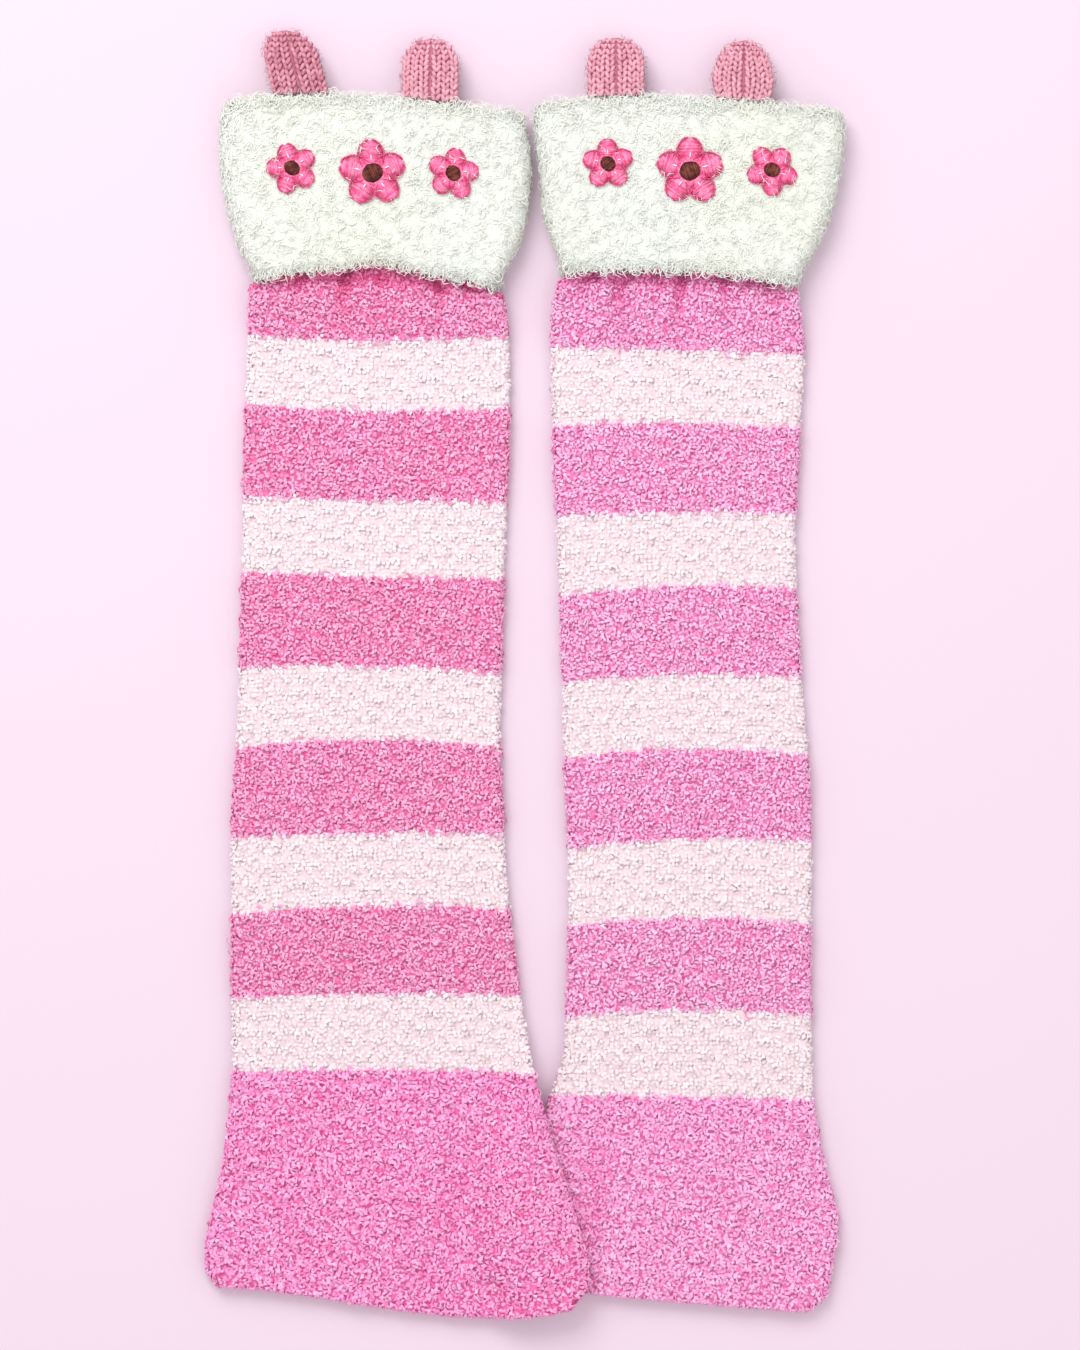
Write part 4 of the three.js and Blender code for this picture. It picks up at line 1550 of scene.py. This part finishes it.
@dataclass(frozen=True)
class LegWarmer:
    """One leg warmer: the leg, its cuff with the embroidery, and its two ears."""

    side: Side
    axis: float
    hem: float
    leg_rows: Rows
    cuff_rows: Rows
    neck: float
    stripes: tuple[float, ...]
    gathers: tuple[Gather, ...]
    leg_troughs: tuple[Trough, ...]
    arch: Arch
    cuff_troughs: tuple[Trough, ...]
    flowers: tuple[Flower, ...]
    ears: tuple[EarSize, ...]
    hem_yarn: Yarn
    pink_yarn: Yarn
    dimples: tuple[float, ...] = (0.0, 0.0)
    # How much darker each ear's stitches are
    darkening: tuple[float, ...] = (0.0, 0.0)
    lies_over: LegWarmer | None = None

    def leg_tube(self) -> LegTube:
        """The leg's surface."""
        over = self.lies_over.leg_tube() if self.lies_over else None
        return LegTube(
            self.axis, self.hem, Table(self.leg_rows), LEG_HEIGHT, self.side, LEG_LUMPS,
            self.neck, self.stripes, self.gathers, self.leg_troughs, over,
        )

    def cuff_tube(self) -> CuffTube:
        """The cuff's surface."""
        return CuffTube(
            self.axis, self.hem, Table(self.cuff_rows), CUFF_HEIGHT, self.side, CUFF_LUMPS,
            self.arch, self.cuff_troughs, self.flowers,
        )

    def build(self) -> None:
        """Builds every piece of this leg warmer."""
        leg = self.leg_tube()
        cuff = self.cuff_tube()
        Leg(leg, self.hem_yarn, self.pink_yarn).build()
        Cuff(cuff, leg.table.top).build()
        for size, dimple, darkening in zip(self.ears, self.dimples, self.darkening):
            Ear(size, cuff, dimple=dimple, darkening=darkening).build()
        LOG.info("%s leg warmer done", self.side.value)


RIGHT = LegWarmer(
    side=Side.RIGHT,
    axis=60.5,
    hem=-239,
    leg_rows=RIGHT_LEG_ROWS,
    cuff_rows=RIGHT_CUFF_ROWS,
    neck=389.5,
    stripes=(77.5, 111, 145.5, 176, 209.5, 238, 271.5, 300, 333.5, 361.5),
    gathers=(
        Gather(-0.76, 1.2, 3.5, 16),
        Gather(-0.45, 1.6, 4, 30),
        Gather(-0.2, 1.1, 3, 18),
        Gather(0.02, 1.6, 3.5, 28),
        Gather(0.4, 1.2, 3.5, 20),
        Gather(0.78, 1.5, 4, 16),
    ),
    leg_troughs=(
        Trough(-34, 40, 84, 44, 7, 1.1),
        Trough(12, 46, -50, 26, 7, 0.6),
        Trough(8, 186, 30, 22, 6, 0.5),
        Trough(-12, 320, -35, 26, 6, 0.5),
    ),
    arch=Arch(36, -1.2, 6, 8),
    cuff_troughs=(
        Trough(23, 412, 14, 26, 5, 1),
        Trough(-30, 409, -20, 22, 5, 0.7),
        Trough(46, 436, 70, 18, 6, 0.6),
        Trough(-6, 446, 5, 20, 5, 0.5),
    ),
    flowers=(Flower(-29, 431, 9.5, 20), Flower(2, 428.5, 12.5, 90), Flower(33, 430, 9.5, 55)),
    ears=(
        EarSize("ear_right_inner", -26, 22.8, 0, 23.8, 0.2),
        EarSize("ear_right_outer", 22, 20.5, 2, 24.2, 0.8),
    ),
    hem_yarn=MILKY_PINK,
    pink_yarn=SOFT_PINK,
)
LEFT = LegWarmer(
    side=Side.LEFT,
    axis=-58,
    hem=-242,
    leg_rows=LEFT_LEG_ROWS,
    cuff_rows=LEFT_CUFF_ROWS,
    neck=392.5,
    stripes=(90.5, 120, 153, 181, 216, 244.5, 278, 307.5, 341, 368),
    gathers=(
        Gather(-0.62, 1.1, 3.5, 14),
        Gather(-0.26, 1.6, 3.5, 20),
        Gather(0.02, 0.8, 2.5, 40),
        Gather(0.48, 1.6, 3.5, 16),
        Gather(0.74, 1.2, 3, 18),
    ),
    leg_troughs=(
        Trough(-32, 30, -62, 34, 7, 0.7),
        Trough(28, 36, 70, 40, 8, 0.8),
        Trough(-18, 196, 35, 24, 6, 0.5),
        Trough(22, 330, -30, 26, 6, 0.5),
    ),
    arch=Arch(2, 2.9, 12, 14),
    cuff_troughs=(
        Trough(-31, 451, 12, 20, 5, 0.8),
        Trough(20, 415, 25, 22, 6, 0.7),
        Trough(44, 431, 80, 18, 5, 0.6),
        Trough(-38, 418, -60, 16, 6, 0.6),
    ),
    flowers=(Flower(-30, 432, 9.5, 35), Flower(0.5, 430.5, 12.5, 95), Flower(31, 432, 9.5, 10)),
    ears=(
        EarSize("ear_left_outer", -26.8, 22, 0, 25.8, -6.5),
        EarSize("ear_left_inner", 22, 22.6, 0, 25, 0.4),
    ),
    hem_yarn=LILAC_PINK,
    pink_yarn=PINK,
    dimples=(1.2, 0.0),
    darkening=(0.8, 0.0),
    lies_over=RIGHT,
)


@dataclass(frozen=True)
class Studio:
    """The floor, the lights and the camera that looks straight down."""

    floor_colour: tuple[float, float, float] = (231, 210, 225)
    floor_half_mm: float = 3000.0
    surround: float = 0.8
    view_height_mm: float = 513.0
    view_middle_mm: tuple[float, float] = (5.8, -1.1)
    lens_mm: float = 100.0
    sensor_mm: float = 36.0
    focus_height_mm: float = 6.0

    def floor(self) -> None:
        """A plain pale floor under the pair."""
        corners = self.floor_half_mm * np.array([[-1, -1, 0], [1, -1, 0], [1, 1, 0], [-1, 1, 0]])
        growth = Growth(corners, np.array([[0, 1, 2], [0, 2, 3]]), np.zeros(4), np.zeros(4))
        floor = mesh_piece("floor", growth, ())
        material = bpy.data.materials.new("pale floor")
        material.use_nodes = True
        shader = material.node_tree.nodes["Principled BSDF"]
        shader.inputs["Base Color"].default_value = colour(*self.floor_colour)
        shader.inputs["Roughness"].default_value = 0.9
        shader.inputs["Specular IOR Level"].default_value = 0.1
        floor.data.materials.append(material)

    def light(self, name: str, place: tuple[float, float, float], size: float, power: float) -> None:
        """A square soft light that faces the middle of the pair."""
        lamp = bpy.data.lights.new(name, "AREA")
        lamp.shape = "SQUARE"
        lamp.size = size
        lamp.energy = power
        holder = bpy.data.objects.new(name, lamp)
        holder.location = place
        bpy.context.scene.collection.objects.link(holder)
        aim(holder)

    def lights(self) -> None:
        """A bright even surround, a broad key light beyond the cuffs and a weak fill."""
        world = bpy.data.worlds.new("studio surround")
        world.use_nodes = True
        world.node_tree.nodes["Background"].inputs["Color"].default_value = (1, 1, 1, 1)
        world.node_tree.nodes["Background"].inputs["Strength"].default_value = self.surround
        bpy.context.scene.world = world
        self.light("key light", (-0.45, 0.95, 1.15), 0.9, 14.0)
        self.light("fill light", (0.8, -0.7, 1.3), 1.2, 3.0)

    def camera(self) -> None:
        """A camera straight above, framed as the photograph is."""
        data = bpy.data.cameras.new("camera")
        data.lens = self.lens_mm
        data.sensor_width = self.sensor_mm
        distance = self.view_height_mm * self.lens_mm / self.sensor_mm
        holder = bpy.data.objects.new("camera", data)
        x, y = self.view_middle_mm
        holder.location = (x * MM, y * MM, (distance + self.focus_height_mm) * MM)
        data.clip_end = 20.0
        bpy.context.scene.collection.objects.link(holder)
        bpy.context.scene.camera = holder

    def build(self) -> None:
        """Sets up the stage, with tones shown as they are lit."""
        bpy.context.scene.view_settings.view_transform = "Standard"
        self.camera()
        self.floor()
        self.lights()


def aim(holder: bpy.types.Object) -> None:
    """Turns an object's -Z axis towards the origin."""
    holder.rotation_euler = holder.location.to_track_quat("Z", "Y").to_euler()


def main() -> None:
    """Builds the pair and its stage."""
    logging.basicConfig(level=logging.INFO, format="%(name)s: %(message)s")
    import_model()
    Studio().build()
    LEFT.build()
    RIGHT.build()


if __name__ == "__main__":
    main()
